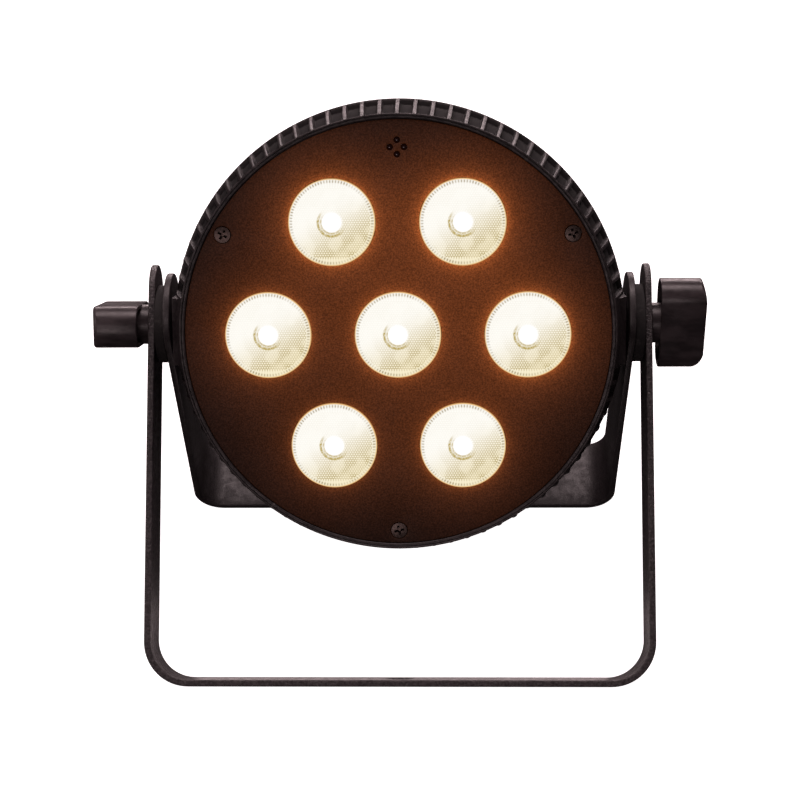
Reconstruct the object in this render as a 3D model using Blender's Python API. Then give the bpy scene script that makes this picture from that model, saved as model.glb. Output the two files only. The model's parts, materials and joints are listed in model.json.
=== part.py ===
"""Slim LED par can: ribbed head with seven lenses, held between two nested U brackets.

Metres, +Z up. The beam leaves towards -Y. The origin is the bottom centre of the whole object.
The head is drawn about its pivot, untilted: a station "forward" of the pivot lies at y = -forward.
"""
import bpy
import bmesh
from math import cos, pi, radians, sin
from mathutils import Matrix, Vector

MM = 0.001
GAP = 0.3 * MM                      # clearance between pieces that touch

# pose at rest
HEAD_TILT = radians(28.5)           # beam raised above the horizontal
OUTER_SWING = radians(43.7)         # outer bracket forward of vertical
INNER_SWING = radians(15.7)         # inner bracket behind vertical
KNOB_TURN = {"left": radians(63), "right": radians(-16)}

# brackets: bent flat steel, stations measured from the pivot axis
STRAP = 3 * MM
OUTER_FACE_X = 114.3 * MM
OUTER_WIDTH = 26 * MM
OUTER_LENGTH = 164.9 * MM
OUTER_TOP = 27.5 * MM
OUTER_BEND = 20 * MM
INNER_FACE_X = 106 * MM
INNER_WIDTH = 37.5 * MM
INNER_TOP = 26 * MM
INNER_BEND = 14 * MM
BOLT_HOLE = 4.3 * MM
CLAMP_HOLE = 6.5 * MM

# head: radii and forward stations
RIB_COUNT = 80
RIB_WIDTH = 1.9 * MM
PAD_HALF_ANGLE = radians(8.6)       # plain sector round each pivot, without ribs
PAD_X = 101 * MM
PAD_FRONT = 30 * MM
LIP_RADIUS = 96.3 * MM
LIP_FRONT = 41 * MM
LIP_DEPTH = 2 * MM
RIB_RADIUS = 102.3 * MM
RIB_MIDDLE = 24 * MM
RIB_BACK = 9 * MM
RIB_FLANK = 0.3 * MM
POCKET_DEPTH = 2.6 * MM
RING_TAPER = (98.5 * MM, -3 * MM)   # radius and station where the casing narrows behind the ribs
RING_BACK = -16 * MM
RING_BACK_RADIUS = 97 * MM
BORE_RADIUS = 91.5 * MM
BORE_FLARE = 2 * MM
SEAT_RADIUS = 93.9 * MM
SEAT_STATION = 37.4 * MM
PLATE_RADIUS = 93.6 * MM
PLATE_FRONT = 40 * MM
PLATE_THICK = 2 * MM
LENS_CIRCLE = 57 * MM
LENS_RADIUS = 19.1 * MM
LENS_PROUD = 1.2 * MM
LENS_FLAT = 16.5 * MM
LENS_BACK = 22.4 * MM
HOLDER_RADIUS = 19.1 * MM
HOLDER_FRONT = 35.7 * MM
HOLDER_FOOT = 8 * MM
EMITTER_RADIUS = 3.8 * MM
SCREW_CIRCLE = 88.2 * MM
SCREW_RADIUS = 3.6 * MM
SCREW_SHANK = 1.9 * MM
SCREW_END = 30 * MM
SCREW_SUNK = 0.2 * MM
SENSOR_HEIGHT = 81.7 * MM
SENSOR_HOLE = 1.5 * MM
SENSOR_SPREAD = 3.1 * MM
SENSOR_BLOCK = (16 * MM, 4.7 * MM, 14 * MM)

# inside the head
BOARD_RADIUS = 79 * MM
BOARD_FRONT = 20.1 * MM
BOARD_BACK = 18.5 * MM
SINK_RADIUS = 80 * MM
SINK_FRONT = 18.2 * MM
SINK_BACK = 13 * MM
FIN_COUNT = 9
FIN_THICK = 2.4 * MM
FIN_SPAN = 124 * MM
FIN_LENGTH = 80 * MM
FIN_ROOT = 14 * MM
FIN_TIP = -6 * MM
SUPPLY_LOW = (-44 * MM, 7 * MM, 6 * MM)
SUPPLY_HIGH = (44 * MM, 31 * MM, 62 * MM)
CONTROL_LOW = (-36 * MM, 44 * MM, 8 * MM)
CONTROL_HIGH = (36 * MM, 45.6 * MM, 46 * MM)

# rear of the head
SHELL_PROFILE_MM = [(97, -16.3), (96, -26), (92, -39), (86, -48.5), (81, -52.3), (78.6, -53),
                    (78.6, -49.9), (74, -49.9), (74, -47.4), (83, -45), (90.5, -33), (93.5, -16.3)]
PANEL_RADIUS = 78.3 * MM
PANEL_THICK = 2.5 * MM
PANEL_BACK = -52.7 * MM
PANEL_FRONT = PANEL_BACK + PANEL_THICK
VENT_ROWS = 5
VENT_PITCH = 7 * MM
VENT_SIZE = (20 * MM, 3 * MM)
VENT_PLACE = (45 * MM, 14 * MM)
DISPLAY_PLACE = (0, 36 * MM)
DISPLAY_SIZE = (42 * MM, 17 * MM)
DISPLAY_FRONT = 0.4 * MM            # how far the window stands out of the panel
REAR_SCREW_CIRCLE = 72 * MM
REAR_SCREW_ANGLES = (38, 142, 205, 335)
REAR_SCREW_RADIUS = 3.4 * MM
REAR_SCREW_HOLE = 2.2 * MM
REAR_SCREW_CROWN = 2 * MM
FLANGE_THICK = 2 * MM
SOCKET_DEPTH = 36 * MM              # sockets reach this far behind the pivot
RECESS_DEPTH = 39 * MM
PIN_START = 38 * MM
PIN_END = 46 * MM
POWER_FLANGE = (38 * MM, 24 * MM)
POWER_BODY = (27 * MM, 20 * MM)
POWER_RECESS = (24 * MM, 16.5 * MM)
POWER_PINS_MM = [(-7, -1.5, 2, 5), (7, -1.5, 2, 5), (0, 2.5, 2, 5)]
XLR_FLANGE = (26 * MM, 31 * MM)
XLR_BODY = 12 * MM
XLR_RECESS = 9.6 * MM
XLR_PINS_MM = {"dmx_input": [(-4.3, 0, 2.2, 2.2), (4.3, 0, 2.2, 2.2), (0, -4.3, 2.2, 2.2)],
               "dmx_output": [(0, 0, 11, 11)]}
POWER_PLACES = {"power_inlet": (-37 * MM, -14 * MM), "power_outlet": (37 * MM, -14 * MM)}
XLR_PLACES = {"dmx_input": (-19 * MM, -49 * MM), "dmx_output": (19 * MM, -49 * MM)}
EYE_HEIGHT = 63 * MM
EYE_DEPTH = 15 * MM
EYE_WIDTH = 22 * MM
EYE_THICK = 3 * MM
EYE_HOLE = 6.5 * MM
BUTTON_RADIUS = 4 * MM
BUTTON_HEIGHT = 14 * MM
BUTTON_XS = [-24 * MM, -8 * MM, 8 * MM, 24 * MM]
BUTTON_PROUD = 2 * MM
BUTTON_SEAT = -46.8 * MM

# pivot stack along X
SPACER = (101.3 * MM, 102.7 * MM)
SPACER_RADIUS = 14 * MM
WASHER = (106.3 * MM, 111 * MM)
WASHER_RADIUS = 17.8 * MM
HUB_START = 114.6 * MM
HUB_OVERLAP = 4 * MM
KNOB_START = 118.5 * MM
KNOB_END = 139.6 * MM
KNOB_LONG = 42 * MM
KNOB_SHORT = 19 * MM
KNOB_FALL_NEAR = 2.1 * MM           # the end face falls this much at one far end of the grip
KNOB_FALL_FAR = 5 * MM              # and this much at the other
KNOB_EDGE = 1.4 * MM
KNOB_CORNER = 8.5 * MM
KNOB_BORE_END = 130 * MM
HUB_RADIUS = 9.2 * MM
BOLT_RADIUS = 3.9 * MM
BOLT_HEAD_START = 86 * MM
BOLT_HEAD_RADIUS = 9 * MM
BOLT_HEAD_END = 91 * MM - GAP
BOLT_END = 129.5 * MM

PIVOT_Z = OUTER_LENGTH * cos(OUTER_SWING) + OUTER_WIDTH / 2 * sin(OUTER_SWING)
INNER_LENGTH = (PIVOT_Z - INNER_WIDTH / 2 * sin(INNER_SWING)) / cos(INNER_SWING)
FRONT_REACH = OUTER_LENGTH * sin(OUTER_SWING) + OUTER_WIDTH / 2 * cos(OUTER_SWING)
EYE_BACK = -PANEL_BACK + EYE_DEPTH
REAR_REACH = EYE_BACK * cos(HEAD_TILT) + (EYE_HEIGHT + EYE_THICK / 2) * sin(HEAD_TILT)
PIVOT_Y = (FRONT_REACH - REAR_REACH) / 2

for old in list(bpy.data.objects):
    bpy.data.objects.remove(old, do_unlink=True)


# ---------------------------------------------------------------- materials
def finish(name, colour, roughness, metallic=0.0):
    material = bpy.data.materials.new(name)
    material.use_nodes = True
    shader = material.node_tree.nodes["Principled BSDF"]
    shader.inputs["Base Color"].default_value = (*colour, 1)
    shader.inputs["Roughness"].default_value = roughness
    shader.inputs["Metallic"].default_value = metallic
    return material


BLACK_COAT = finish("black_powder_coat", (0.018, 0.016, 0.017), 0.6)
CAST_BLACK = finish("black_cast_housing", (0.02, 0.018, 0.019), 0.5)
PLATE_BLACK = finish("black_textured_plate", (0.015, 0.013, 0.012), 0.75)
PLASTIC = finish("black_plastic", (0.022, 0.021, 0.022), 0.45)
RUBBER = finish("black_rubber", (0.015, 0.015, 0.015), 0.85)
SCREW_STEEL = finish("black_screw_steel", (0.03, 0.028, 0.028), 0.35, 0.8)
STEEL = finish("zinc_steel", (0.55, 0.55, 0.56), 0.35, 1.0)
ALUMINIUM = finish("bare_aluminium", (0.7, 0.7, 0.71), 0.4, 1.0)
LENS = finish("lit_lens", (1.0, 0.86, 0.6), 0.15)
BOARD = finish("circuit_board", (0.02, 0.12, 0.05), 0.5)
WHITE_BOARD = finish("white_board", (0.85, 0.85, 0.83), 0.4)
PHOSPHOR = finish("led_phosphor", (0.95, 0.75, 0.25), 0.4)
WINDOW = finish("smoked_window", (0.03, 0.005, 0.005), 0.1)


# ---------------------------------------------------------------- shapes
def new_object(name, bm, material, smooth_angle=30):
    bmesh.ops.remove_doubles(bm, verts=bm.verts, dist=1e-7)
    bmesh.ops.recalc_face_normals(bm, faces=bm.faces)
    mesh = bpy.data.meshes.new(name)
    bm.to_mesh(mesh)
    bm.free()
    mesh.shade_smooth()
    mesh.set_sharp_from_angle(angle=radians(smooth_angle))
    mesh.materials.append(material)
    piece = bpy.data.objects.new(name, mesh)
    bpy.context.scene.collection.objects.link(piece)
    return piece


def turned(name, profile, material, steps=32, axis="forward", closed=False):
    """Spin (radius, station) points about the beam axis or the pivot axis."""
    bm = bmesh.new()
    verts = []
    for radius, station in profile:
        place = (0, -station, radius) if axis == "forward" else (station, 0, radius)
        verts.append(bm.verts.new(place))
    ends = list(zip(verts, verts[1:]))
    if closed:
        ends.append((verts[-1], verts[0]))
    edges = [bm.edges.new(pair) for pair in ends]
    direction = (0, 1, 0) if axis == "forward" else (1, 0, 0)
    bmesh.ops.spin(bm, geom=verts + edges, cent=(0, 0, 0), axis=direction, angle=2 * pi,
                   steps=steps, use_merge=True)
    return new_object(name, bm, material)


def block(name, low, high, material):
    bm = bmesh.new()
    bmesh.ops.create_cube(bm, size=1)
    size = Vector(high) - Vector(low)
    centre = (Vector(high) + Vector(low)) / 2
    bmesh.ops.transform(bm, matrix=Matrix.Translation(centre) @ Matrix.Diagonal((*size, 1)),
                        verts=bm.verts)
    return new_object(name, bm, material)


def extruded(name, outline, start, end, material, along="Y"):
    """A flat outline of (x, z) pulled along Y, or of (y, z) pulled along X."""
    bm = bmesh.new()
    if along == "Y":
        verts = [bm.verts.new((x, start, z)) for x, z in outline]
        pull = Vector((0, end - start, 0))
    else:
        verts = [bm.verts.new((start, y, z)) for y, z in outline]
        pull = Vector((end - start, 0, 0))
    face = bm.faces.new(verts)
    grown = bmesh.ops.extrude_face_region(bm, geom=[face])
    moved = [item for item in grown["geom"] if isinstance(item, bmesh.types.BMVert)]
    bmesh.ops.translate(bm, vec=pull, verts=moved)
    return new_object(name, bm, material)


def round_outline(width, height, corner, centre=(0, 0), steps=4):
    """A rectangle with round corners, as (u, v) points."""
    points = []
    quarters = [(1, 1, 0), (-1, 1, 90), (-1, -1, 180), (1, -1, 270)]
    for side_u, side_v, first in quarters:
        hub_u = centre[0] + side_u * (width / 2 - corner)
        hub_v = centre[1] + side_v * (height / 2 - corner)
        for step in range(steps + 1):
            angle = radians(first + 90 * step / steps)
            points.append((hub_u + corner * cos(angle), hub_v + corner * sin(angle)))
    return points


def rod(radius, start, end, steps=24, along="Y", centre=(0, 0), name="tool", material=PLASTIC):
    """A plain cylinder: a disc, or a cutter."""
    outline = []
    for step in range(steps):
        angle = 2 * pi * step / steps
        outline.append((centre[0] + radius * cos(angle), centre[1] + radius * sin(angle)))
    return extruded(name, outline, start, end, material, along)


def combine(piece, tools, operation="DIFFERENCE"):
    """Cut the tools from the piece, or join them to it, and remove them."""
    for tool in tools:
        modifier = piece.modifiers.new("cut", "BOOLEAN")
        modifier.operation = operation
        modifier.solver = "EXACT"
        modifier.object = tool
    bpy.context.view_layer.update()
    evaluated = piece.evaluated_get(bpy.context.evaluated_depsgraph_get())
    result = bpy.data.meshes.new_from_object(evaluated)
    piece.modifiers.clear()
    piece.data = result
    for tool in tools:
        bpy.data.objects.remove(tool, do_unlink=True)
    return piece


def pivot_empty(name, turn):
    empty = bpy.data.objects.new(name, None)
    empty.location = (0, PIVOT_Y, PIVOT_Z)
    empty.rotation_euler = (turn, 0, 0)
    bpy.context.scene.collection.objects.link(empty)
    return empty


HEAD = pivot_empty("head_pivot", -HEAD_TILT)
OUTER_YOKE = pivot_empty("outer_bracket_pivot", -OUTER_SWING)
INNER_YOKE = pivot_empty("inner_bracket_pivot", INNER_SWING)


def hang(piece, empty, offset=(0, 0, 0)):
    piece.parent = empty
    piece.location = offset
    return piece


# ---------------------------------------------------------------- brackets
def bend_place(station, across, depth, half_run, length, bend):
    """Where a point of the flat strap goes once the strap is bent into a U.

    station runs along the strap from the middle of the crossbar, depth from its outer face in.
    """
    side = 1 if station >= 0 else -1
    reach = abs(station)
    flat = half_run - bend
    arc = bend * pi / 2
    if reach <= flat:
        return (side * reach, across, -length + depth)
    if reach <= flat + arc:
        angle = (reach - flat) / bend
        radius = bend - depth
        return (side * (flat + radius * sin(angle)), across, -length + bend - radius * cos(angle))
    rise = reach - flat - arc
    return (side * (half_run - depth), across, -length + bend + rise)


def bracket(name, half_run, width, length, top, bend, empty, clamp_hole):
    flat = half_run - bend
    arc = bend * pi / 2
    pivot_station = flat + arc + length - bend
    end_hub = pivot_station + top - width / 2
    half = [0, flat / 2, flat]
    half += [flat + arc * step / 6 for step in range(1, 7)]
    half += [pivot_station - width / 2, end_hub]
    widths = [width / 2] * len(half)
    for step in range(1, 7):
        angle = pi / 2 * step / 6.5
        half.append(end_hub + width / 2 * sin(angle))
        widths.append(width / 2 * cos(angle))
    outline = list(zip(half, widths))
    stations = [(-s, w) for s, w in reversed(outline[1:])] + outline
    bm = bmesh.new()
    rows = []
    for station, reach in stations:
        corners = ((-reach, 0), (reach, 0), (reach, STRAP), (-reach, STRAP))
        rows.append([bm.verts.new((station, across, depth)) for across, depth in corners])
    for row, after in zip(rows, rows[1:]):
        for k in range(4):
            bm.faces.new((row[k], row[(k + 1) % 4], after[(k + 1) % 4], after[k]))
    bm.faces.new(rows[0])
    bm.faces.new(rows[-1])
    piece = new_object(name, bm, BLACK_COAT)
    holes = [(pivot_station, BOLT_HOLE), (-pivot_station, BOLT_HOLE)]
    if clamp_hole:
        holes.append((0, CLAMP_HOLE))
    tools = []
    for station, radius in holes:
        drill = rod(radius, -STRAP, 2 * STRAP)
        drill.data.transform(Matrix.Translation((station, 0, 0)) @ Matrix.Rotation(pi / 2, 4, "X"))
        drill.data.transform(Matrix.Translation((0, 0, STRAP / 2)))
        tools.append(drill)
    combine(piece, tools)
    for vertex in piece.data.vertices:
        station, across, depth = vertex.co
        vertex.co = bend_place(station, across, depth, half_run, length, bend)
    return hang(piece, empty)


bracket("outer_bracket", OUTER_FACE_X, OUTER_WIDTH, OUTER_LENGTH, OUTER_TOP, OUTER_BEND,
        OUTER_YOKE, True)
bracket("inner_bracket", INNER_FACE_X, INNER_WIDTH, INNER_LENGTH, INNER_TOP, INNER_BEND,
        INNER_YOKE, False)


# ---------------------------------------------------------------- head casing
def rib_radius(forward):
    """The crest of a rib swells from the lip to the widest band behind it."""
    front = LIP_FRONT - LIP_DEPTH
    share = (front - forward) / (front - RIB_BACK)
    return LIP_RADIUS + (RIB_RADIUS - LIP_RADIUS) * sin(pi / 2 * min(1, max(0, share)))


def housing_ring():
    """Front casing. Four columns of points shape each rib and pocket; one column does elsewhere."""
    front = LIP_FRONT - LIP_DEPTH
    pocket_front = front - 2 * RIB_FLANK
    pocket_back = RIB_BACK + LIP_DEPTH + 2 * RIB_FLANK
    fine_profile = [(LIP_RADIUS, LIP_FRONT, 0), (LIP_RADIUS, front, 0)]
    for forward in (pocket_front, RIB_MIDDLE, pocket_back):
        fine_profile.append((rib_radius(forward), forward, POCKET_DEPTH))
    fine_profile.append((RIB_RADIUS, RIB_BACK + LIP_DEPTH, 0))
    coarse_profile = [(RIB_RADIUS, RIB_BACK - LIP_DEPTH / 2), RING_TAPER,
                      (RING_BACK_RADIUS, RING_BACK), (BORE_RADIUS + BORE_FLARE, RING_BACK),
                      (BORE_RADIUS, RING_BACK + BORE_FLARE), (BORE_RADIUS, SEAT_STATION),
                      (SEAT_RADIUS, SEAT_STATION), (SEAT_RADIUS, LIP_FRONT)]
    pitch = 2 * pi / RIB_COUNT
    half_rib = RIB_WIDTH / 2 / RIB_RADIUS
    flank = RIB_FLANK / RIB_RADIUS
    pocket_offsets = ((-half_rib, 0), (half_rib, 0), (half_rib + flank, 1),
                      (pitch - half_rib - flank, 1))
    bm = bmesh.new()
    fine = []
    coarse = []
    for rib in range(RIB_COUNT):
        middle = rib * pitch
        for offset, pocket in pocket_offsets:
            angle = middle + offset
            fine.append([ring_point(bm, angle, forward, radius - pocket * drop)
                         for radius, forward, drop in fine_profile])
        coarse.append([ring_point(bm, middle - half_rib, forward, radius)
                       for radius, forward in coarse_profile])
    for ring, after in zip(fine, fine[1:] + fine[:1]):
        for k in range(len(ring) - 1):
            bm.faces.new((ring[k], ring[k + 1], after[k + 1], after[k]))
    for ring, after in zip(coarse, coarse[1:] + coarse[:1]):
        for k in range(len(ring) - 1):
            bm.faces.new((ring[k], ring[k + 1], after[k + 1], after[k]))
    for rib in range(RIB_COUNT):
        edge = [fine[(4 * rib + k) % len(fine)] for k in range(5)]
        ring = coarse[rib]
        after = coarse[(rib + 1) % RIB_COUNT]
        for column, following in zip(edge, edge[1:]):
            bm.faces.new((column[-1], following[-1], ring[0]))
            bm.faces.new((column[0], following[0], ring[-1]))
        bm.faces.new((edge[-1][-1], after[0], ring[0]))
        bm.faces.new((edge[-1][0], after[-1], ring[-1]))
    bmesh.ops.triangulate(bm, faces=bm.faces)
    piece = new_object("housing_ring", bm, CAST_BLACK)
    span = PAD_X + 10 * MM
    return combine(piece, [rod(BOLT_HOLE, -span, span, 20, along="X")])


def ring_point(bm, angle, forward, radius):
    """A point of the casing; round each pivot its outside is a flat pad square to the pivot axis."""
    from_pivot = abs((angle + pi / 2) % pi - pi / 2)
    outside = radius > SEAT_RADIUS
    on_pad = outside and from_pivot < PAD_HALF_ANGLE and forward < PAD_FRONT
    if on_pad:
        radius = PAD_X / cos(from_pivot)
    return bm.verts.new((radius * cos(angle), -forward, radius * sin(angle)))


hang(housing_ring(), HEAD)

SHELL_PROFILE = [(radius * MM, forward * MM) for radius, forward in SHELL_PROFILE_MM]
hang(turned("rear_shell", SHELL_PROFILE, CAST_BLACK, steps=64, closed=True), HEAD)


# ---------------------------------------------------------------- front plate and lenses
def around(radius, degrees):
    return (radius * cos(radians(degrees)), radius * sin(radians(degrees)))


LENS_PLACES = [(0, 0)] + [around(LENS_CIRCLE, 60 * k) for k in range(6)]
SCREW_PLACES = [around(SCREW_CIRCLE, degrees) for degrees in (30, 150, 270)]
SENSOR_PLACES = [(dx * SENSOR_SPREAD, SENSOR_HEIGHT + dz * SENSOR_SPREAD)
                 for dx, dz in ((0, 1), (0, -1), (1, 0), (-1, 0))]


def front_plate():
    back = PLATE_FRONT - PLATE_THICK
    piece = rod(PLATE_RADIUS, -PLATE_FRONT, -back, 80, name="front_plate", material=PLATE_BLACK)
    start = -PLATE_FRONT - 5 * MM
    end = -back + 5 * MM
    tools = [rod(LENS_RADIUS + GAP, start, end, 32, centre=spot) for spot in LENS_PLACES]
    tools += [rod(SCREW_RADIUS + GAP, start, end, 16, centre=spot) for spot in SCREW_PLACES]
    tools += [rod(SENSOR_HOLE, start, end, 8, centre=spot) for spot in SENSOR_PLACES]
    return combine(piece, tools)


hang(front_plate(), HEAD)

LENS_PROFILE = [(0, PLATE_FRONT + LENS_PROUD), (LENS_FLAT, PLATE_FRONT + LENS_PROUD),
                (LENS_RADIUS, PLATE_FRONT + LENS_PROUD / 3), (LENS_RADIUS, HOLDER_FRONT + GAP),
                (LENS_RADIUS - 2 * MM, HOLDER_FRONT + GAP), (HOLDER_FOOT - MM, LENS_BACK),
                (0, LENS_BACK)]
HOLDER_BACK = BOARD_FRONT + GAP
HOLDER_PROFILE = [(HOLDER_RADIUS, HOLDER_FRONT), (HOLDER_RADIUS, HOLDER_BACK),
                  (HOLDER_FOOT, HOLDER_BACK), (HOLDER_FOOT, LENS_BACK - GAP),
                  (HOLDER_RADIUS - 1.2 * MM, HOLDER_FRONT)]
EMITTER_PROFILE = [(0, LENS_BACK - 0.5 * MM), (EMITTER_RADIUS - 0.4 * MM, LENS_BACK - MM),
                   (EMITTER_RADIUS, HOLDER_BACK), (0, HOLDER_BACK)]
for number, (x, z) in enumerate(LENS_PLACES, 1):
    spot = (x, 0, z)
    hang(turned(f"lens_{number}", LENS_PROFILE, LENS, steps=22), HEAD, spot)
    holder = turned(f"lens_holder_{number}", HOLDER_PROFILE, PLASTIC, steps=16, closed=True)
    hang(holder, HEAD, spot)
    hang(turned(f"led_emitter_{number}", EMITTER_PROFILE, PHOSPHOR, steps=8), HEAD, spot)


def cross_head_screw(name, place):
    """Countersunk screw whose head faces forward, with a cross recess."""
    face = PLATE_FRONT - SCREW_SUNK
    rim = face - 0.4 * MM
    neck = rim - (SCREW_RADIUS - SCREW_SHANK)
    profile = [(0, face), (SCREW_RADIUS, face), (SCREW_RADIUS, rim), (SCREW_SHANK, neck),
               (SCREW_SHANK, SCREW_END), (0, SCREW_END)]
    piece = turned(name, profile, SCREW_STEEL, steps=12)
    arm = SCREW_RADIUS * 0.62
    slot = SCREW_RADIUS * 0.13
    cross = [(arm, slot), (slot, slot), (slot, arm), (-slot, arm), (-slot, slot), (-arm, slot),
             (-arm, -slot), (-slot, -slot), (-slot, -arm), (slot, -arm), (slot, -slot), (arm, -slot)]
    combine(piece, [extruded("tool", cross, -face - MM, -face + 1.1 * MM, SCREW_STEEL)])
    return hang(piece, HEAD, (place[0], 0, place[1]))


for number, place in enumerate(SCREW_PLACES, 1):
    cross_head_screw(f"plate_screw_{number}", place)

# ---------------------------------------------------------------- inside the head
BOARD_PROFILE = [(0, BOARD_FRONT), (BOARD_RADIUS, BOARD_FRONT), (BOARD_RADIUS, BOARD_BACK),
                 (0, BOARD_BACK)]
hang(turned("led_board", BOARD_PROFILE, WHITE_BOARD, steps=32), HEAD)


def heat_sink():
    """Round base behind the LED board with straight cooling fins."""
    base = [(0, SINK_FRONT), (SINK_RADIUS, SINK_FRONT), (SINK_RADIUS, SINK_BACK), (0, SINK_BACK)]
    piece = turned("heat_sink", base, ALUMINIUM, steps=32)
    pitch = (FIN_SPAN - FIN_THICK) / (FIN_COUNT - 1)
    fins = []
    for number in range(FIN_COUNT):
        left = -FIN_SPAN / 2 + number * pitch
        low = (left, -FIN_ROOT, -FIN_LENGTH / 2)
        high = (left + FIN_THICK, -FIN_TIP, FIN_LENGTH / 2)
        fins.append(block("tool", low, high, ALUMINIUM))
    return combine(piece, fins, "UNION")


SENSOR_BACK = -PLATE_FRONT + PLATE_THICK + GAP
SENSOR_LOW = (-SENSOR_BLOCK[0] / 2, SENSOR_BACK, SENSOR_HEIGHT - SENSOR_BLOCK[2] / 2)
SENSOR_HIGH = (SENSOR_BLOCK[0] / 2, SENSOR_BACK + SENSOR_BLOCK[1], SENSOR_HEIGHT + SENSOR_BLOCK[2] / 2)
hang(heat_sink(), HEAD)
hang(block("power_supply", SUPPLY_LOW, SUPPLY_HIGH, ALUMINIUM), HEAD)
hang(block("control_board", CONTROL_LOW, CONTROL_HIGH, BOARD), HEAD)
hang(block("sensor_module", SENSOR_LOW, SENSOR_HIGH, WINDOW), HEAD)


# ---------------------------------------------------------------- rear panel
REAR_SCREWS = [around(REAR_SCREW_CIRCLE, degrees) for degrees in REAR_SCREW_ANGLES]


def rear_panel():
    piece = rod(PANEL_RADIUS, -PANEL_FRONT, -PANEL_BACK, 64, name="rear_panel")
    start = -PANEL_FRONT - 5 * MM
    end = -PANEL_BACK + 5 * MM
    tools = [rod(BUTTON_RADIUS + GAP, start, end, 16, centre=(x, BUTTON_HEIGHT)) for x in BUTTON_XS]
    tools += [rod(REAR_SCREW_HOLE, start, end, 8, centre=spot) for spot in REAR_SCREWS]
    cutouts = [(DISPLAY_PLACE, DISPLAY_SIZE)]
    cutouts += [(centre, POWER_BODY) for centre in POWER_PLACES.values()]
    for centre, (wide, high) in cutouts:
        outline = round_outline(wide + 2 * GAP, high + 2 * GAP, 2 * MM, centre)
        tools.append(extruded("tool", outline, start, end, PLASTIC))
    tools += [rod(XLR_BODY + GAP, start, end, 24, centre=spot) for spot in XLR_PLACES.values()]
    for side in (-1, 1):
        for row in range(VENT_ROWS):
            centre = (side * VENT_PLACE[0], VENT_PLACE[1] + VENT_PITCH * row)
            slot = round_outline(*VENT_SIZE, VENT_SIZE[1] / 2 - 0.1 * MM, centre, 2)
            tools.append(extruded("tool", slot, start, end, PLASTIC))
    return combine(piece, tools)


hang(rear_panel(), HEAD)


def socket(name, outline, body, recess, pins, place):
    """Flanged panel socket: flange on the panel, body through it, recess open to the rear."""
    flange_front = -PANEL_BACK + GAP
    flange_back = flange_front + FLANGE_THICK
    piece = extruded(name, outline, flange_front, flange_back, PLASTIC)
    core = extruded("tool", body, SOCKET_DEPTH, flange_back - FLANGE_THICK / 4, PLASTIC)
    combine(piece, [core], "UNION")
    combine(piece, [extruded("tool", recess, RECESS_DEPTH, flange_back + 5 * MM, PLASTIC)])
    for numbers in pins:
        x, z, wide, high = (number * MM for number in numbers)
        low = (x - wide / 2, PIN_START, z - high / 2)
        pin = block("tool", low, (x + wide / 2, PIN_END, z + high / 2), STEEL)
        combine(piece, [pin], "UNION")
    return hang(piece, HEAD, (place[0], 0, place[1]))


def circle_outline(radius, steps=20):
    return [(radius * cos(2 * pi * k / steps), radius * sin(2 * pi * k / steps)) for k in range(steps)]


for name, place in POWER_PLACES.items():
    socket(name, round_outline(*POWER_FLANGE, 3 * MM), round_outline(*POWER_BODY, 2 * MM),
           round_outline(*POWER_RECESS, 3.5 * MM), POWER_PINS_MM, place)
for name, place in XLR_PLACES.items():
    socket(name, round_outline(*XLR_FLANGE, 2.5 * MM), circle_outline(XLR_BODY),
           circle_outline(XLR_RECESS), XLR_PINS_MM[name], place)

hang(extruded("display_window", round_outline(*DISPLAY_SIZE, 2 * MM, DISPLAY_PLACE), -PANEL_FRONT,
              -PANEL_BACK + DISPLAY_FRONT, WINDOW), HEAD)
BUTTON_TOP = PANEL_BACK - BUTTON_PROUD
BUTTON_PROFILE = [(0, BUTTON_SEAT), (BUTTON_RADIUS, BUTTON_SEAT),
                  (BUTTON_RADIUS, BUTTON_TOP + 0.5 * MM), (BUTTON_RADIUS - 0.6 * MM, BUTTON_TOP),
                  (0, BUTTON_TOP)]
for number, x in enumerate(BUTTON_XS, 1):
    button = turned(f"menu_button_{number}", BUTTON_PROFILE, RUBBER, steps=14)
    hang(button, HEAD, (x, 0, BUTTON_HEIGHT))
REAR_SCREW_PROFILE = [(0, PANEL_BACK - REAR_SCREW_CROWN),
                      (REAR_SCREW_RADIUS - MM, PANEL_BACK - REAR_SCREW_CROWN + 0.4 * MM),
                      (REAR_SCREW_RADIUS, PANEL_BACK - GAP), (SCREW_SHANK, PANEL_BACK - GAP),
                      (SCREW_SHANK, PANEL_FRONT + 0.1 * MM), (0, PANEL_FRONT + 0.1 * MM)]
for number, place in enumerate(REAR_SCREWS, 1):
    screw = turned(f"rear_screw_{number}", REAR_SCREW_PROFILE, SCREW_STEEL, steps=10)
    hang(screw, HEAD, (place[0], 0, place[1]))


def safety_eye():
    """Steel loop for a safety wire: a round-backed tab with a hole, standing out of the panel."""
    half = EYE_WIDTH / 2
    outline = [(-half, 0), (half, 0)]
    for step in range(13):
        angle = pi * step / 12
        outline.append((half * cos(angle), EYE_DEPTH - half + half * sin(angle)))
    tab = extruded("safety_eye", outline, -EYE_THICK / 2, EYE_THICK / 2, STEEL)
    combine(tab, [rod(EYE_HOLE, -EYE_THICK, EYE_THICK, 20, centre=(0, EYE_DEPTH - half))])
    stand = Matrix.Translation((0, -PANEL_BACK + GAP, EYE_HEIGHT))
    tab.data.transform(stand @ Matrix.Rotation(-pi / 2, 4, "X"))
    return tab


hang(safety_eye(), HEAD)


# ---------------------------------------------------------------- pivot stacks
def knob_end(z):
    """Station of the arched end face at a place along the grip."""
    fall = KNOB_FALL_NEAR if z > 0 else KNOB_FALL_FAR
    return KNOB_END - fall * abs(2 * z / KNOB_LONG) ** 3.5


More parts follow.
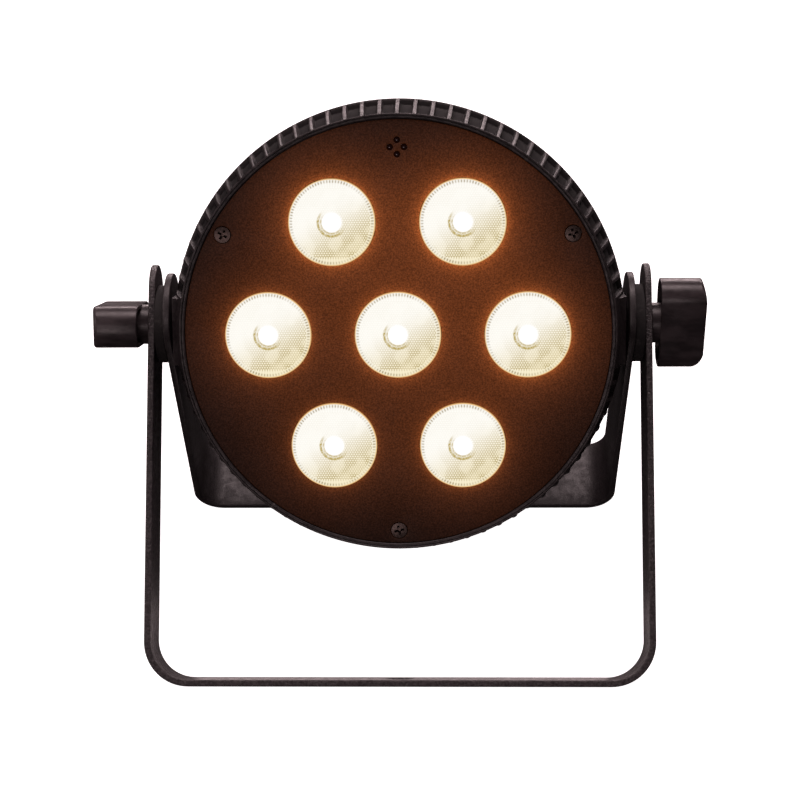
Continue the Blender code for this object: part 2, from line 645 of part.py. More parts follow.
def knob(name, side, turn):
    """Oblong grip with an arched end and rounded edge, on a round hub that is bored for the bolt."""
    places = [[(KNOB_START, y, z) for y, z in round_outline(KNOB_SHORT, KNOB_LONG, KNOB_CORNER)]]
    for degrees in (0, 45, 90):
        inset = KNOB_EDGE * (1 - cos(radians(degrees)))
        depth = KNOB_EDGE * (1 - sin(radians(degrees)))
        outline = round_outline(KNOB_SHORT - 2 * inset, KNOB_LONG - 2 * inset, KNOB_CORNER - inset)
        places.append([(knob_end(z) - depth, y, z) for y, z in outline])
    for share in (0.7, 0.35):
        places.append([(knob_end(z * share), y * share, z * share) for y, z in outline])
    bm = bmesh.new()
    rows = [[bm.verts.new(place) for place in row] for row in places]
    for row, after in zip(rows, rows[1:]):
        for k in range(len(row)):
            following = (k + 1) % len(row)
            bm.faces.new((row[k], row[following], after[following], after[k]))
    bm.faces.new(rows[0])
    tip = bm.verts.new((KNOB_END, 0, 0))
    for k in range(len(rows[-1])):
        bm.faces.new((rows[-1][k], rows[-1][(k + 1) % len(rows[-1])], tip))
    grip = new_object(name, bm, PLASTIC)
    combine(grip, [rod(HUB_RADIUS, HUB_START, KNOB_START + HUB_OVERLAP, along="X")], "UNION")
    combine(grip, [rod(BOLT_RADIUS + GAP, HUB_START - MM, KNOB_BORE_END, 16, along="X")])
    if side < 0:
        grip.data.transform(Matrix.Scale(-1, 4, (1, 0, 0)))
        grip.data.flip_normals()
    grip.location = (0, PIVOT_Y, PIVOT_Z)
    grip.rotation_euler = (turn, 0, 0)


def disc(name, radius, ends, side, material, steps):
    """Washer round the pivot axis on one side."""
    corners = [(BOLT_HOLE, ends[0]), (radius, ends[0]), (radius, ends[1]), (BOLT_HOLE, ends[1])]
    profile = [(reach, side * station) for reach, station in corners]
    return turned(name, profile, material, steps=steps, axis="pivot", closed=True)


def bolt(name, side):
    corners = [(0, BOLT_HEAD_START), (BOLT_HEAD_RADIUS - 2 * MM, BOLT_HEAD_START + MM),
               (BOLT_HEAD_RADIUS, BOLT_HEAD_END), (BOLT_RADIUS, BOLT_HEAD_END),
               (BOLT_RADIUS, BOLT_END - 1.5 * MM), (0, BOLT_END)]
    profile = [(reach, side * station) for reach, station in corners]
    return turned(name, profile, STEEL, steps=16, axis="pivot")


for label, side in (("left", -1), ("right", 1)):
    hang(disc(f"pivot_spacer_{label}", SPACER_RADIUS, SPACER, side, PLASTIC, 24), HEAD)
    hang(disc(f"friction_washer_{label}", WASHER_RADIUS, WASHER, side, RUBBER, 28), OUTER_YOKE)
    hang(bolt(f"pivot_bolt_{label}", side), HEAD)
    knob(f"knob_{label}", side, KNOB_TURN[label])
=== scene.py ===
"""Finish of a slim seven-lens LED par can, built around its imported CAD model. Metres, +Z up."""
import json
from math import atan2, ceil, cos, hypot, pi, radians, sin, sqrt
import bmesh
import bpy
from mathutils import Matrix, Quaternion, Vector
from mathutils.geometry import delaunay_2d_cdt

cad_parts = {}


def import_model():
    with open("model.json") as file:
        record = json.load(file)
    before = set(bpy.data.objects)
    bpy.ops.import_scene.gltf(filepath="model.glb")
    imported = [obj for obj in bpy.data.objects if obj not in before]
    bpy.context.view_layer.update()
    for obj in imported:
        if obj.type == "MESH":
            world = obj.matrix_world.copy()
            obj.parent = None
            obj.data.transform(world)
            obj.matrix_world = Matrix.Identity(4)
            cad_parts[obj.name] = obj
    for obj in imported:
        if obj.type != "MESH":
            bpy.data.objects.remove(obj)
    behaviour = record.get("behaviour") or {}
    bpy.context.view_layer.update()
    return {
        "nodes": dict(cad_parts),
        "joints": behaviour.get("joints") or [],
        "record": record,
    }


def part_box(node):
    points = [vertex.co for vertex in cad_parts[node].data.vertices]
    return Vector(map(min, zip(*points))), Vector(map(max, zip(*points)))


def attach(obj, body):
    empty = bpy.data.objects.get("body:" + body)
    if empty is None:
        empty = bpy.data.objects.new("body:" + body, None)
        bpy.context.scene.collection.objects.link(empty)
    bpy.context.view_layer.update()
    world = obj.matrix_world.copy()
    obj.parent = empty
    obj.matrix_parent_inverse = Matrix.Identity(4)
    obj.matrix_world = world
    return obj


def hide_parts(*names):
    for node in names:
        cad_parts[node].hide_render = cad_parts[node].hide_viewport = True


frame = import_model()
MM = 0.001

# ---- the frame's own places
JOINTS = {joint["name"]: joint for joint in frame["joints"]}
MOUNTS = {mount["name"]: mount for mount in frame["record"]["mounts"]}
PIVOT = Vector(JOINTS["head_tilt"]["pos_m"])


def turned_frame(angle):
    """A frame at the pivot, turned about the pivot axis."""
    return Matrix.Translation(PIVOT) @ Matrix.Rotation(angle, 4, "X")


PRESS = JOINTS["button_1_press"]["axis"]
CLAMP = MOUNTS["clamp_face"]["axis"]
STAND = MOUNTS["stand_face"]["axis"]
HEAD = turned_frame(-atan2(PRESS[2], -PRESS[1]))
OUTER = turned_frame(atan2(CLAMP[1], -CLAMP[2]))
INNER = turned_frame(atan2(STAND[1], -STAND[2]))


def local_box(node, place):
    """Lowest and highest corner of a CAD node, measured along a turned frame."""
    back = place.inverted()
    points = [back @ vertex.co for vertex in frame["nodes"][node].data.vertices]
    low = Vector([min(point[k] for point in points) for k in range(3)])
    high = Vector([max(point[k] for point in points) for k in range(3)])
    return low, high


def local_centre(node, place):
    low, high = local_box(node, place)
    return (low + high) / 2


# ---- materials
class Paint:
    """A Principled material and the texture nodes that feed it."""

    def __init__(self, name, colour, roughness, metallic=0.0, specular=0.5):
        self.material = bpy.data.materials.new(name)
        self.material.use_nodes = True
        self.tree = self.material.node_tree
        self.shader = self.tree.nodes["Principled BSDF"]
        self.set("Base Color", (*colour, 1))
        self.set("Roughness", roughness)
        self.set("Metallic", metallic)
        self.set("Specular IOR Level", specular)
        self.place = self.tree.nodes.new("ShaderNodeTexCoord").outputs["Object"]

    def set(self, socket, value):
        self.shader.inputs[socket].default_value = value

    def feed(self, socket, value):
        self.tree.links.new(value, self.shader.inputs[socket])

    def node(self, kind, inputs, **settings):
        made = self.tree.nodes.new(kind)
        for key, value in settings.items():
            setattr(made, key, value)
        for key, value in inputs.items():
            if isinstance(value, bpy.types.NodeSocket):
                self.tree.links.new(value, made.inputs[key])
            else:
                made.inputs[key].default_value = value
        return made

    def along_beam(self, across, along):
        """Places squeezed so that a pattern of scale 1 is drawn out along the beam."""
        size = (1 / across, 1 / along, 1 / across)
        inputs = {"Vector": self.place, "Rotation": HEAD.to_euler(), "Scale": size}
        return self.node("ShaderNodeMapping", inputs, vector_type="TEXTURE").outputs[0]

    def stretched(self, scale):
        return self.node("ShaderNodeMapping", {"Vector": self.place, "Scale": scale}).outputs[0]

    def noise(self, scale, detail=3, roughness=0.55, place=None):
        inputs = {"Vector": place or self.place, "Scale": scale, "Detail": detail,
                  "Roughness": roughness}
        return self.node("ShaderNodeTexNoise", inputs).outputs["Fac"]

    def cells(self, scale):
        inputs = {"Vector": self.place, "Scale": scale}
        return self.node("ShaderNodeTexVoronoi", inputs).outputs["Distance"]

    def attribute(self, name):
        return self.node("ShaderNodeAttribute", {}, attribute_name=name).outputs["Fac"]

    def sums(self, operation, first, second=0.0, third=0.0):
        inputs = {0: first, 1: second, 2: third}
        return self.node("ShaderNodeMath", inputs, operation=operation).outputs[0]

    def times(self, first, second):
        return self.sums("MULTIPLY", first, second)

    def spread(self, value, low, high, out_low=0.0, out_high=1.0):
        """Map low..high onto out_low..out_high, smoothly, without going past the ends."""
        inputs = {"Value": value, "From Min": low, "From Max": high, "To Min": out_low,
                  "To Max": out_high}
        return self.node("ShaderNodeMapRange", inputs, interpolation_type="SMOOTHSTEP").outputs[0]

    def blend(self, share, first, second):
        made = self.node("ShaderNodeMix", {0: share}, data_type="RGBA")
        for key, value in ((6, first), (7, second)):
            if isinstance(value, bpy.types.NodeSocket):
                self.tree.links.new(value, made.inputs[key])
            else:
                made.inputs[key].default_value = (*value, 1)
        return made.outputs[2]

    def bump(self, height, strength, depth, under=None):
        inputs = {"Height": height, "Strength": strength, "Distance": depth}
        if under is not None:
            inputs["Normal"] = under
        return self.node("ShaderNodeBump", inputs).outputs[0]

    def edge_wear_and_highlight(self, low=0.51, high=0.58):
        """Share of lightened finish along convex edges: part rubbed-off wear, part painted
        highlight on crests and edges.
        """
        edge = self.tree.nodes.new("ShaderNodeNewGeometry").outputs["Pointiness"]
        patchy = self.spread(self.noise(160, 4), 0.35, 0.65)
        return self.times(self.spread(edge, low, high), patchy)


def powder_coat():
    """Coarse black powder coat: rounded grains that catch the light one by one."""
    paint = Paint("bracket_powder_coat", (0.02, 0.018, 0.019), 0.5, specular=0.55)
    grains = paint.noise(900, 2, 0.6)
    pits = paint.cells(1300)
    tone = paint.blend(paint.spread(grains, 0.38, 0.66), (0.011, 0.008, 0.009),
                       (0.046, 0.038, 0.041))
    # strap edges lightened towards pale grey: worn coat and a painted highlight
    paint.feed("Base Color", paint.blend(paint.edge_wear_and_highlight(), tone, (0.11, 0.105, 0.105)))
    paint.feed("Roughness", paint.spread(paint.noise(420), 0.3, 0.7, 0.28, 0.5))
    base = paint.bump(paint.noise(45, 2), 0.12, 0.4 * MM)
    peel = paint.bump(grains, 1.0, 0.6 * MM, base)
    paint.feed("Normal", paint.bump(pits, 0.35, 0.12 * MM, peel))
    return paint.material


def smooth_coat():
    """Finer black coat of the stand bracket."""
    paint = Paint("stand_powder_coat", (0.02, 0.018, 0.019), 0.45, specular=0.5)
    grains = paint.noise(1500, 2, 0.5)
    tone = paint.blend(paint.spread(grains, 0.35, 0.7), (0.012, 0.009, 0.010),
                       (0.034, 0.028, 0.030))
    # edges lightened towards pale grey: worn coat and a painted highlight
    paint.feed("Base Color", paint.blend(paint.edge_wear_and_highlight(), tone, (0.1, 0.095, 0.095)))
    paint.feed("Roughness", paint.spread(paint.noise(300), 0.3, 0.7, 0.38, 0.54))
    base = paint.bump(paint.noise(40, 2), 0.10, 0.4 * MM)
    paint.feed("Normal", paint.bump(grains, 0.4, 0.12 * MM, base))
    return paint.material


def cast_black():
    """Painted die casting: satin, with faint draw marks along the beam, and painted shade
    darkening the rib pockets.
    """
    paint = Paint("housing_cast_black", (0.012, 0.01, 0.0105), 0.42, specular=0.3)
    streaks = paint.noise(1, 4, 0.6, paint.along_beam(900, 60))
    tone = paint.blend(paint.spread(streaks, 0.3, 0.72), (0.007, 0.005, 0.0055),
                       (0.022, 0.017, 0.018))
    # rib crests and edges lightened: worn paint and a painted highlight
    worn_and_highlit = paint.blend(paint.edge_wear_and_highlight(0.52, 0.6), tone, (0.11, 0.095, 0.095))
    # painted shade: the rib pockets darken to near black by the pocket depth attribute
    pocket = paint.attribute("pocket")
    paint.feed("Base Color", paint.blend(pocket, worn_and_highlit, (0.004, 0.003, 0.003)))
    satin = paint.spread(paint.noise(500), 0.3, 0.7, 0.34, 0.52)
    paint.feed("Roughness", paint.sums("MAXIMUM", satin, paint.times(pocket, 0.9)))
    base = paint.bump(paint.noise(260, 3), 0.25, 0.15 * MM)
    paint.feed("Normal", paint.bump(streaks, 0.3, 0.06 * MM, base))
    return paint.material


def plate_paint(lens_places, lens_radius):
    """Sand-textured black paint, with the warm light that each lens spills on it."""
    paint = Paint("plate_sand_black", (0.009, 0.006, 0.005), 0.7, specular=0.18)
    sand = paint.noise(1500, 3, 0.65)
    specks = paint.cells(1100)
    patches = paint.noise(60, 3)
    tone = paint.blend(paint.spread(sand, 0.36, 0.7), (0.006, 0.0035, 0.0028),
                       (0.026, 0.016, 0.013))
    paint.feed("Base Color", tone)
    paint.feed("Roughness", paint.spread(patches, 0.3, 0.7, 0.6, 0.8))
    base = paint.bump(specks, 0.3, 0.15 * MM)
    paint.feed("Normal", paint.bump(sand, 0.7, 0.25 * MM, base))
    spill = None
    for place in lens_places:
        away = paint.node("ShaderNodeVectorMath", {0: paint.place, 1: HEAD @ place},
                          operation="DISTANCE").outputs["Value"]
        past = paint.sums("SUBTRACT", away, lens_radius)
        wide = paint.sums("EXPONENT", paint.sums("DIVIDE", past, -SPILL_REACH))
        tight = paint.sums("EXPONENT", paint.sums("DIVIDE", past, -HALO_REACH))
        share = paint.sums("ADD", wide, paint.times(tight, HALO_SHARE))
        strength = SPILL * (1 + (SPILL_RISE * place.z + SPILL_SIDE * place.x) / LENS_CIRCLE)
        share = paint.times(share, strength)
        spill = share if spill is None else paint.sums("ADD", spill, share)
    grain = paint.spread(sand, 0.3, 0.72, 0.62, 1.5)
    paint.set("Emission Color", SPILL_COLOUR)
    paint.feed("Emission Strength", paint.times(spill, grain))
    return paint.material


def lens_plastic():
    """Clear beaded optic, lit from behind: white hot spot, cream field, gold gaps."""
    paint = Paint("lens_lit", (0.05, 0.042, 0.03), 0.12)
    split = paint.node("ShaderNodeSeparateXYZ", {0: paint.place}).outputs
    x, z = split["X"], split["Z"]
    out = paint.sums("SQRT", paint.sums("ADD", paint.times(x, x), paint.times(z, z)))
    angle = paint.sums("ARCTAN2", z, x)
    lean = paint.sums("ADD", paint.times(x, 0.5 / LENS_RADIUS),
                      paint.times(z, -0.86 / LENS_RADIUS))
    lower = paint.spread(lean, -0.35, 0.95)
    patch = paint.spread(paint.noise(120, 1), 0.36, 0.6)
    bead = paint.attribute("gap")
    off_spot = paint.spread(out, SPOT_RADIUS, SPOT_RADIUS + 1.6 * MM)
    gap = paint.times(paint.spread(bead, 0.3, 0.85), off_spot)
    depth = paint.sums("MULTIPLY_ADD", lower, 0.9, 0.1)
    depth = paint.times(depth, paint.spread(patch, 0, 1, 0.55, 1.0))
    gap = paint.times(gap, depth)
    field = paint.blend(lower, (1.0, 0.985, 0.93), (0.96, 0.87, 0.62))
    hot = paint.blend(off_spot, (1.0, 1.0, 1.0), field)
    colour = paint.blend(gap, hot, (0.40, 0.31, 0.10))
    # arcs round the hot spot, strongest at its lower left
    turn = paint.sums("COSINE", paint.sums("SUBTRACT", angle, ARC_TURN))
    facing = paint.spread(turn, -0.35, 0.6)
    arcs = None
    for middle, width, amount in LENS_ARCS:
        near = paint.sums("ABSOLUTE", paint.sums("SUBTRACT", out, middle))
        arc = paint.times(paint.spread(near, width * 2, width * 0.4), amount)
        arcs = arc if arcs is None else paint.sums("MAXIMUM", arcs, arc)
    broken = paint.spread(paint.noise(900, 1), 0.3, 0.6, 0.35, 1.0)
    arcs = paint.times(paint.times(arcs, facing), broken)
    colour = paint.blend(arcs, colour, (0.46, 0.35, 0.08))
    # fluted rim: dark ticks, then a pale edge and the shaded side wall
    flute = paint.attribute("flute")
    weak = paint.spread(paint.noise(110, 1), 0.36, 0.6, 0.45, 1.0)
    colour = paint.blend(paint.times(flute, weak), colour, (0.27, 0.20, 0.08))
    edge = paint.spread(out, LENS_RADIUS - 0.6 * MM, LENS_RADIUS - 0.15 * MM)
    colour = paint.blend(edge, colour, (0.80, 0.50, 0.20))
    wall = paint.spread(split["Y"], 0.0, 0.7 * MM)
    colour = paint.blend(wall, colour, (0.25, 0.10, 0.03))
    paint.feed("Emission Color", colour)
    paint.set("Emission Strength", LENS_GLOW)
    return paint.material


def moulded(name, colour, roughness, grain_scale, grain_depth, specular=0.5):
    """Injection-moulded plastic with an etched grain and faint flow lines."""
    paint = Paint(name, colour, roughness, specular=specular)
    grain = paint.noise(grain_scale, 2, 0.5)
    flow = paint.noise(1, 3, 0.5, paint.stretched((90, 260, 260)))
    lighter = tuple(channel * 1.7 + 0.004 for channel in colour)
    tone = paint.blend(paint.spread(flow, 0.3, 0.7), tuple(c * 0.75 for c in colour), lighter)
    # edges lightened towards pale grey: worn plastic and a painted highlight
    paint.feed("Base Color", paint.blend(paint.edge_wear_and_highlight(0.53, 0.62), tone, (0.085, 0.08, 0.08)))
    paint.feed("Roughness", paint.spread(paint.noise(380), 0.3, 0.7, roughness - 0.06,
                                         roughness + 0.07))
    base = paint.bump(flow, 0.12, 0.1 * MM)
    paint.feed("Normal", paint.bump(grain, 0.4, grain_depth, base))
    return paint.material


def rubber():
    paint = Paint("rubber_matt", (0.016, 0.015, 0.015), 0.8, specular=0.35)
    dust = paint.noise(220, 5, 0.7)
    paint.feed("Base Color", paint.blend(paint.spread(dust, 0.5, 0.78), (0.013, 0.012, 0.012),
                                         (0.05, 0.047, 0.046)))
    paint.feed("Roughness", paint.spread(dust, 0.3, 0.7, 0.68, 0.88))
    paint.feed("Normal", paint.bump(paint.noise(1400, 2), 0.3, 0.05 * MM))
    return paint.material


def metal(name, colour, roughness, brush, metallic=1.0, dirt=(0.1, 0.09, 0.08)):
    """Brushed or plated metal: fine scratches one way, darker dirt in patches."""
    paint = Paint(name, colour, roughness, metallic)
    scratches = paint.noise(1, 4, 0.7, paint.stretched(brush))
    patches = paint.spread(paint.noise(240, 4, 0.6), 0.5, 0.75)
    bright = paint.blend(paint.spread(scratches, 0.3, 0.7), tuple(c * 0.8 for c in colour),
                         tuple(min(1, c * 1.15) for c in colour))
    paint.feed("Base Color", paint.blend(paint.times(patches, 0.5), bright, dirt))
    paint.feed("Roughness", paint.spread(scratches, 0.25, 0.75, roughness - 0.08,
                                         roughness + 0.12))
    paint.feed("Normal", paint.bump(scratches, 0.25, 0.03 * MM))
    return paint.material


def circuit_board(name, mask, track):
    """Solder mask with tracks just showing under it, and bright pads."""
    paint = Paint(name, mask, 0.32)
    bricks = paint.node("ShaderNodeTexBrick", {"Vector": paint.place, "Scale": 160.0,
                                               "Mortar Size": 0.018}).outputs["Fac"]
    pads = paint.spread(paint.cells(230), 0.16, 0.12)
    colour = paint.blend(bricks, mask, track)
    paint.feed("Base Color", paint.blend(pads, colour, (0.62, 0.6, 0.56)))
    paint.feed("Roughness", paint.spread(pads, 0, 1, 0.34, 0.22))
    paint.feed("Normal", paint.bump(bricks, 0.3, 0.05 * MM))
    return paint.material


def phosphor():
    paint = Paint("phosphor_yellow", (0.95, 0.78, 0.3), 0.4)
    grain = paint.noise(2500, 2)
    paint.feed("Base Color", paint.blend(grain, (0.9, 0.7, 0.22), (1.0, 0.86, 0.42)))
    paint.feed("Normal", paint.bump(grain, 0.3, 0.03 * MM))
    paint.set("Emission Color", (1.0, 0.86, 0.6, 1))
    paint.set("Emission Strength", 1.0)
    return paint.material


def smoked_window():
    paint = Paint("window_smoked", (0.018, 0.005, 0.005), 0.08)
    smears = paint.noise(70, 4, 0.6)
    paint.feed("Roughness", paint.spread(smears, 0.35, 0.75, 0.05, 0.22))
    paint.feed("Base Color", paint.blend(smears, (0.014, 0.004, 0.004), (0.03, 0.009, 0.009)))
    paint.set("Coat Weight", 0.5)
    return paint.material


def studio_white():
    paint = Paint("studio_white", (0.93, 0.93, 0.93), 0.8, specular=0.1)
    paint.feed("Base Color", paint.blend(paint.noise(3, 3), (0.92, 0.92, 0.92),
                                         (0.94, 0.94, 0.94)))
    paint.set("Emission Color", (1, 1, 1, 1))
    paint.set("Emission Strength", FLOOR_GLOW)
    return paint.material


# ---- shapes
def plain_mesh(bm):
    bmesh.ops.recalc_face_normals(bm, faces=bm.faces)
    mesh = bpy.data.meshes.new("shape")
    bm.to_mesh(mesh)
    bm.free()
    return mesh


def placed(name, data):
    """A new object in the scene."""
    item = bpy.data.objects.new(name, data)
    bpy.context.scene.collection.objects.link(item)
    return item


def smoothed(mesh, name, material, sharp):
    """Name a mesh, give it a material, and shade it smooth but for edges past an angle."""
    mesh.name = name
    mesh.materials.append(material)
    mesh.shade_smooth()
    mesh.set_sharp_from_angle(angle=radians(sharp))
    return mesh


def dressed(mesh, name, body, replaced=(), place=Matrix.Identity(4)):
    """Place a mesh as a named piece that rides on a body."""
    piece = placed(name, mesh)
    piece.matrix_world = place
    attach(piece, body)
    if replaced:
        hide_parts(*replaced)


def finished(bm, name, material, body, replaced=(), place=HEAD, sharp=32, at=(0, 0, 0)):
    """Turn a mesh drawn in a turned frame into a named piece that rides on a body."""
    mesh = smoothed(plain_mesh(bm), name, material, sharp)
    mesh.transform(place @ Matrix.Translation(at))
    dressed(mesh, name, body, replaced)


def circle(radius, centre=(0, 0), steps=48):
    """A round outline; the inset shrinks it."""
    def outline(inset):
        size = radius - inset
        return [(centre[0] + size * cos(2 * pi * k / steps),
                 centre[1] + size * sin(2 * pi * k / steps)) for k in range(steps)]
    return outline


def rounded(width, height, corner, centre=(0, 0), steps=6):
    """A rectangle with round corners; the inset shrinks it."""
    def outline(inset):
        points = []
        turn = max(corner - inset, 0.05 * MM)
        for side_u, side_v, first in ((1, 1, 0), (-1, 1, 90), (-1, -1, 180), (1, -1, 270)):
            hub_u = centre[0] + side_u * (width / 2 - inset - turn)
            hub_v = centre[1] + side_v * (height / 2 - inset - turn)
            for step in range(steps + 1):
                angle = radians(first + 90 * step / steps)
                points.append((hub_u + turn * cos(angle), hub_v + turn * sin(angle)))
        return points
    return outline


def loft(bm, rows, capped=False):
    """Skin a list of rings of vertices, and cap both ends if asked."""
    for row, after in zip(rows, rows[1:]):
        for k in range(len(row)):
            following = (k + 1) % len(row)
            bm.faces.new((row[k], row[following], after[following], after[k]))
    if capped:
        bm.faces.new(rows[0])
        bm.faces.new(rows[-1])


def fill(bm, rings):
    """A flat cap between an outer ring and any holes in it."""
    edges = []
    for ring in rings:
        for k in range(len(ring)):
            pair = (ring[k], ring[(k + 1) % len(ring)])
            edges.append(bm.edges.get(pair) or bm.edges.new(pair))
    bmesh.ops.triangle_fill(bm, use_beauty=True, use_dissolve=False, edges=edges)


def sheet_mesh(outer, holes, front, back, edge, to_point, steps=3):
    """A flat sheet with holes, its rims rounded over. front and back are depths."""
    bm = bmesh.new()
    tops = []
    bottoms = []
    for shape, side in [(outer, 1)] + [(hole, -1) for hole in holes]:
        rows = []
        for step in range(steps + 1):
            angle = pi / 2 * step / steps
            inset = side * edge * (1 - sin(angle))
            depth = front + edge * (1 - cos(angle))
            rows.append((inset, depth))
        rows += [(inset, back - (depth - front)) for inset, depth in reversed(rows)]
        rings = [[bm.verts.new(to_point(u, v, depth)) for u, v in shape(inset)]
                 for inset, depth in rows]
        loft(bm, rings)
        tops.append(rings[0])
        bottoms.append(rings[-1])
    fill(bm, tops)
    fill(bm, bottoms)
    return bm


def facing_front(u, v, depth):
    """Sheets of the head lie square to the beam; depth runs backwards along +Y."""
    return (u, depth, v)


def facing_back(station):
    """A sheet seen from behind: depth runs forwards from its outer face."""
    return lambda u, v, depth: (u, station - depth, v)


def spun(profile, steps, axis="beam", closed=True):
    """Turn (radius, station) points about the beam (stations run back) or about the pivot axis."""
    bm = bmesh.new()
    rings = []
    for radius, station in profile:
        ring = []
        for k in range(steps):
            angle = 2 * pi * k / steps
            if axis == "beam":
                ring.append(bm.verts.new((radius * cos(angle), station, radius * sin(angle))))
            else:
                ring.append(bm.verts.new((station, radius * cos(angle), radius * sin(angle))))
        rings.append(ring)
    loft(bm, rings + rings[:1] if closed else rings, capped=not closed)
    return bm


def arc(centre, radius, start, end, steps=5):
    """Points of a rounded corner in a (radius, station) profile, angles in degrees."""
    points = []
    for step in range(steps + 1):
        angle = radians(start + (end - start) * step / steps)
        points.append((centre[0] + radius * cos(angle), centre[1] + radius * sin(angle)))
    return points


def carved(mesh, tool_bm, operation="DIFFERENCE"):
    """Cut or join a tool mesh with the exact solver, and give the result back."""
    body = placed("carving", mesh)
    tool = placed("tool", plain_mesh(tool_bm))
    modifier = body.modifiers.new("cut", "BOOLEAN")
    modifier.operation = operation
    modifier.solver = "EXACT"
    modifier.object = tool
    bpy.context.view_layer.update()
    result = bpy.data.meshes.new_from_object(
        body.evaluated_get(bpy.context.evaluated_depsgraph_get()))
    for item in (body, tool):
        bpy.data.objects.remove(item, do_unlink=True)
    result.materials.clear()
    return result


# ---- sizes read from the frame
LENS_COUNT = 7
LENS_CENTRES = [local_centre(f"lens_{number}", HEAD) for number in range(1, LENS_COUNT + 1)]
LENS_LOW, LENS_HIGH = local_box("lens_1", HEAD)
LENS_RADIUS = (LENS_HIGH.x - LENS_LOW.x) / 2
LENS_CIRCLE = LENS_CENTRES[1].x
PLATE_LOW, PLATE_HIGH = local_box("front_plate", HEAD)
RING_LOW, RING_HIGH = local_box("housing_ring", HEAD)
PANEL_LOW, PANEL_HIGH = local_box("rear_panel", HEAD)
GAP = 0.3 * MM

# ---- lamp light and studio
SPILL = 0.105
SPILL_COLOUR = (1.0, 0.235, 0.05, 1)
SPILL_REACH = 11 * MM
SPILL_RISE = 0.45
SPILL_SIDE = 0.18
HALO_SHARE = 1.4
HALO_REACH = 1.6 * MM
SPOT_RADIUS = 3.7 * MM
LENS_ARCS = ((4.75 * MM, 0.28 * MM, 0.7), (6.0 * MM, 0.42 * MM, 1.0))
ARC_TURN = radians(232)
LENS_GLOW = 0.98
FLOOR_GLOW = 1.0

POWDER = powder_coat()
SATIN = smooth_coat()
CAST = cast_black()
PLATE = plate_paint([Vector((spot.x, PLATE_LOW.y, spot.z)) for spot in LENS_CENTRES], LENS_RADIUS)
LIT = lens_plastic()
PANEL_PLASTIC = moulded("panel_textured", (0.02, 0.0195, 0.02), 0.55, 1200, 0.08 * MM)
PLASTIC = moulded("plastic_satin", (0.02, 0.019, 0.02), 0.42, 1800, 0.03 * MM)
KNOB_PLASTIC = moulded("knob_satin", (0.032, 0.0255, 0.0275), 0.34, 2200, 0.02 * MM, 0.38)
SOCKET_PLASTIC = moulded("socket_plastic", (0.016, 0.016, 0.017), 0.4, 1500, 0.03 * MM)
RUBBER = rubber()
BLACK_STEEL = metal("screw_black_oxide", (0.07, 0.052, 0.046), 0.34, (900, 900, 240), 0.9,
                    (0.03, 0.026, 0.025))
ZINC = metal("zinc_plate", (0.56, 0.56, 0.58), 0.3, (240, 1400, 240))
ALUMINIUM = metal("aluminium_bare", (0.72, 0.72, 0.73), 0.34, (1200, 120, 1200))
GOLD = metal("contact_metal", (0.8, 0.72, 0.5), 0.25, (900, 200, 900))
GREEN_BOARD = circuit_board("board_green", (0.012, 0.10, 0.035), (0.03, 0.19, 0.07))
WHITE_BOARD = circuit_board("board_white", (0.80, 0.80, 0.77), (0.70, 0.70, 0.68))
PHOSPHOR = phosphor()
WINDOW = smoked_window()

# ---- brackets
STRAP = 3 * MM
STRAP_EDGE = 0.55 * MM
OUTER_BEND = 20 * MM
INNER_BEND = 14 * MM
BOLT_HOLE = 4.3 * MM
CLAMP_HOLE = 6.5 * MM
BEND_CUTS = 20


def bracket(name, node, place, bend, clamp_hole, material, body):
    """Flat strap with round ends and drilled holes, bent into a U under the pivot."""
    low, high = local_box(node, place)
    half_run = high.x
    width = high.y - low.y
    length = -low.z
    flat = half_run - bend
    arc_length = bend * pi / 2
    pivot_station = flat + arc_length + length - bend
    end = pivot_station + high.z
    holes = [circle(BOLT_HOLE, (side * pivot_station, 0)) for side in (-1, 1)]
    if clamp_hole:
        holes.append(circle(CLAMP_HOLE))
    outline = rounded(2 * end, width, width / 2 - 0.01 * MM, steps=16)
    bm = sheet_mesh(outline, holes, 0, STRAP, STRAP_EDGE, lambda u, v, depth: (u, v, depth))
    for side in (-1, 1):
        for cut in range(BEND_CUTS + 1):
            station = side * (flat + arc_length * cut / BEND_CUTS)
            bmesh.ops.bisect_plane(bm, geom=bm.verts[:] + bm.edges[:] + bm.faces[:],
                                   plane_co=(station, 0, 0), plane_no=(1, 0, 0), dist=1e-7)
    for vertex in bm.verts:
        station, across, depth = vertex.co
        side = 1 if station >= 0 else -1
        reach = abs(station)
        if reach <= flat:
            vertex.co = (side * reach, across, -length + depth)
        elif reach <= flat + arc_length:
            angle = (reach - flat) / bend
            radius = bend - depth
            vertex.co = (side * (flat + radius * sin(angle)), across,
                         -length + bend - radius * cos(angle))
        else:
            rise = reach - flat - arc_length
            vertex.co = (side * (half_run - depth), across, -length + bend + rise)
    finished(bm, name, material, body, [node], place)


bracket("outer_bracket_strap", "outer_bracket", OUTER, OUTER_BEND, True, POWDER, "yoke")
bracket("inner_bracket_strap", "inner_bracket", INNER, INNER_BEND, False, SATIN, "stand")

# ---- ribbed front casing
RIB_COUNT = 80
RIB_BACK = 9 * MM
RIB_DEPTH = 2.6 * MM
RIB_STATIONS = 11
LIP_STEP = 2 * MM
LIP_RADIUS = 96.3 * MM
SEAT_RADIUS = 93.9 * MM
BORE_RADIUS = 91.5 * MM
BORE_FRONT = 37.4 * MM
PAD_REACH = 101 * MM
PAD_HALF_ANGLE = radians(8.6)
PAD_FRONT = 30 * MM
# half a rib's cross-section: millimetres from its middle, and how deep the pocket is there
RIB_SHAPE = [(0.0, 0.0), (0.5, 0.01), (0.8, 0.06), (0.95, 0.2), (1.1, 0.6), (1.25, 0.9),
             (1.5, 1.0), (2.5, 1.0)]
# millimetres from each end of the ribs, and how deep the pockets are there
POCKET_START = ((0.12, 0.35), (0.3, 0.85), (0.6, 1.0))
POCKET_END = ((2.7, 0.92), (2.35, 0.55), (2.1, 0.12), (1.7, 0.0))


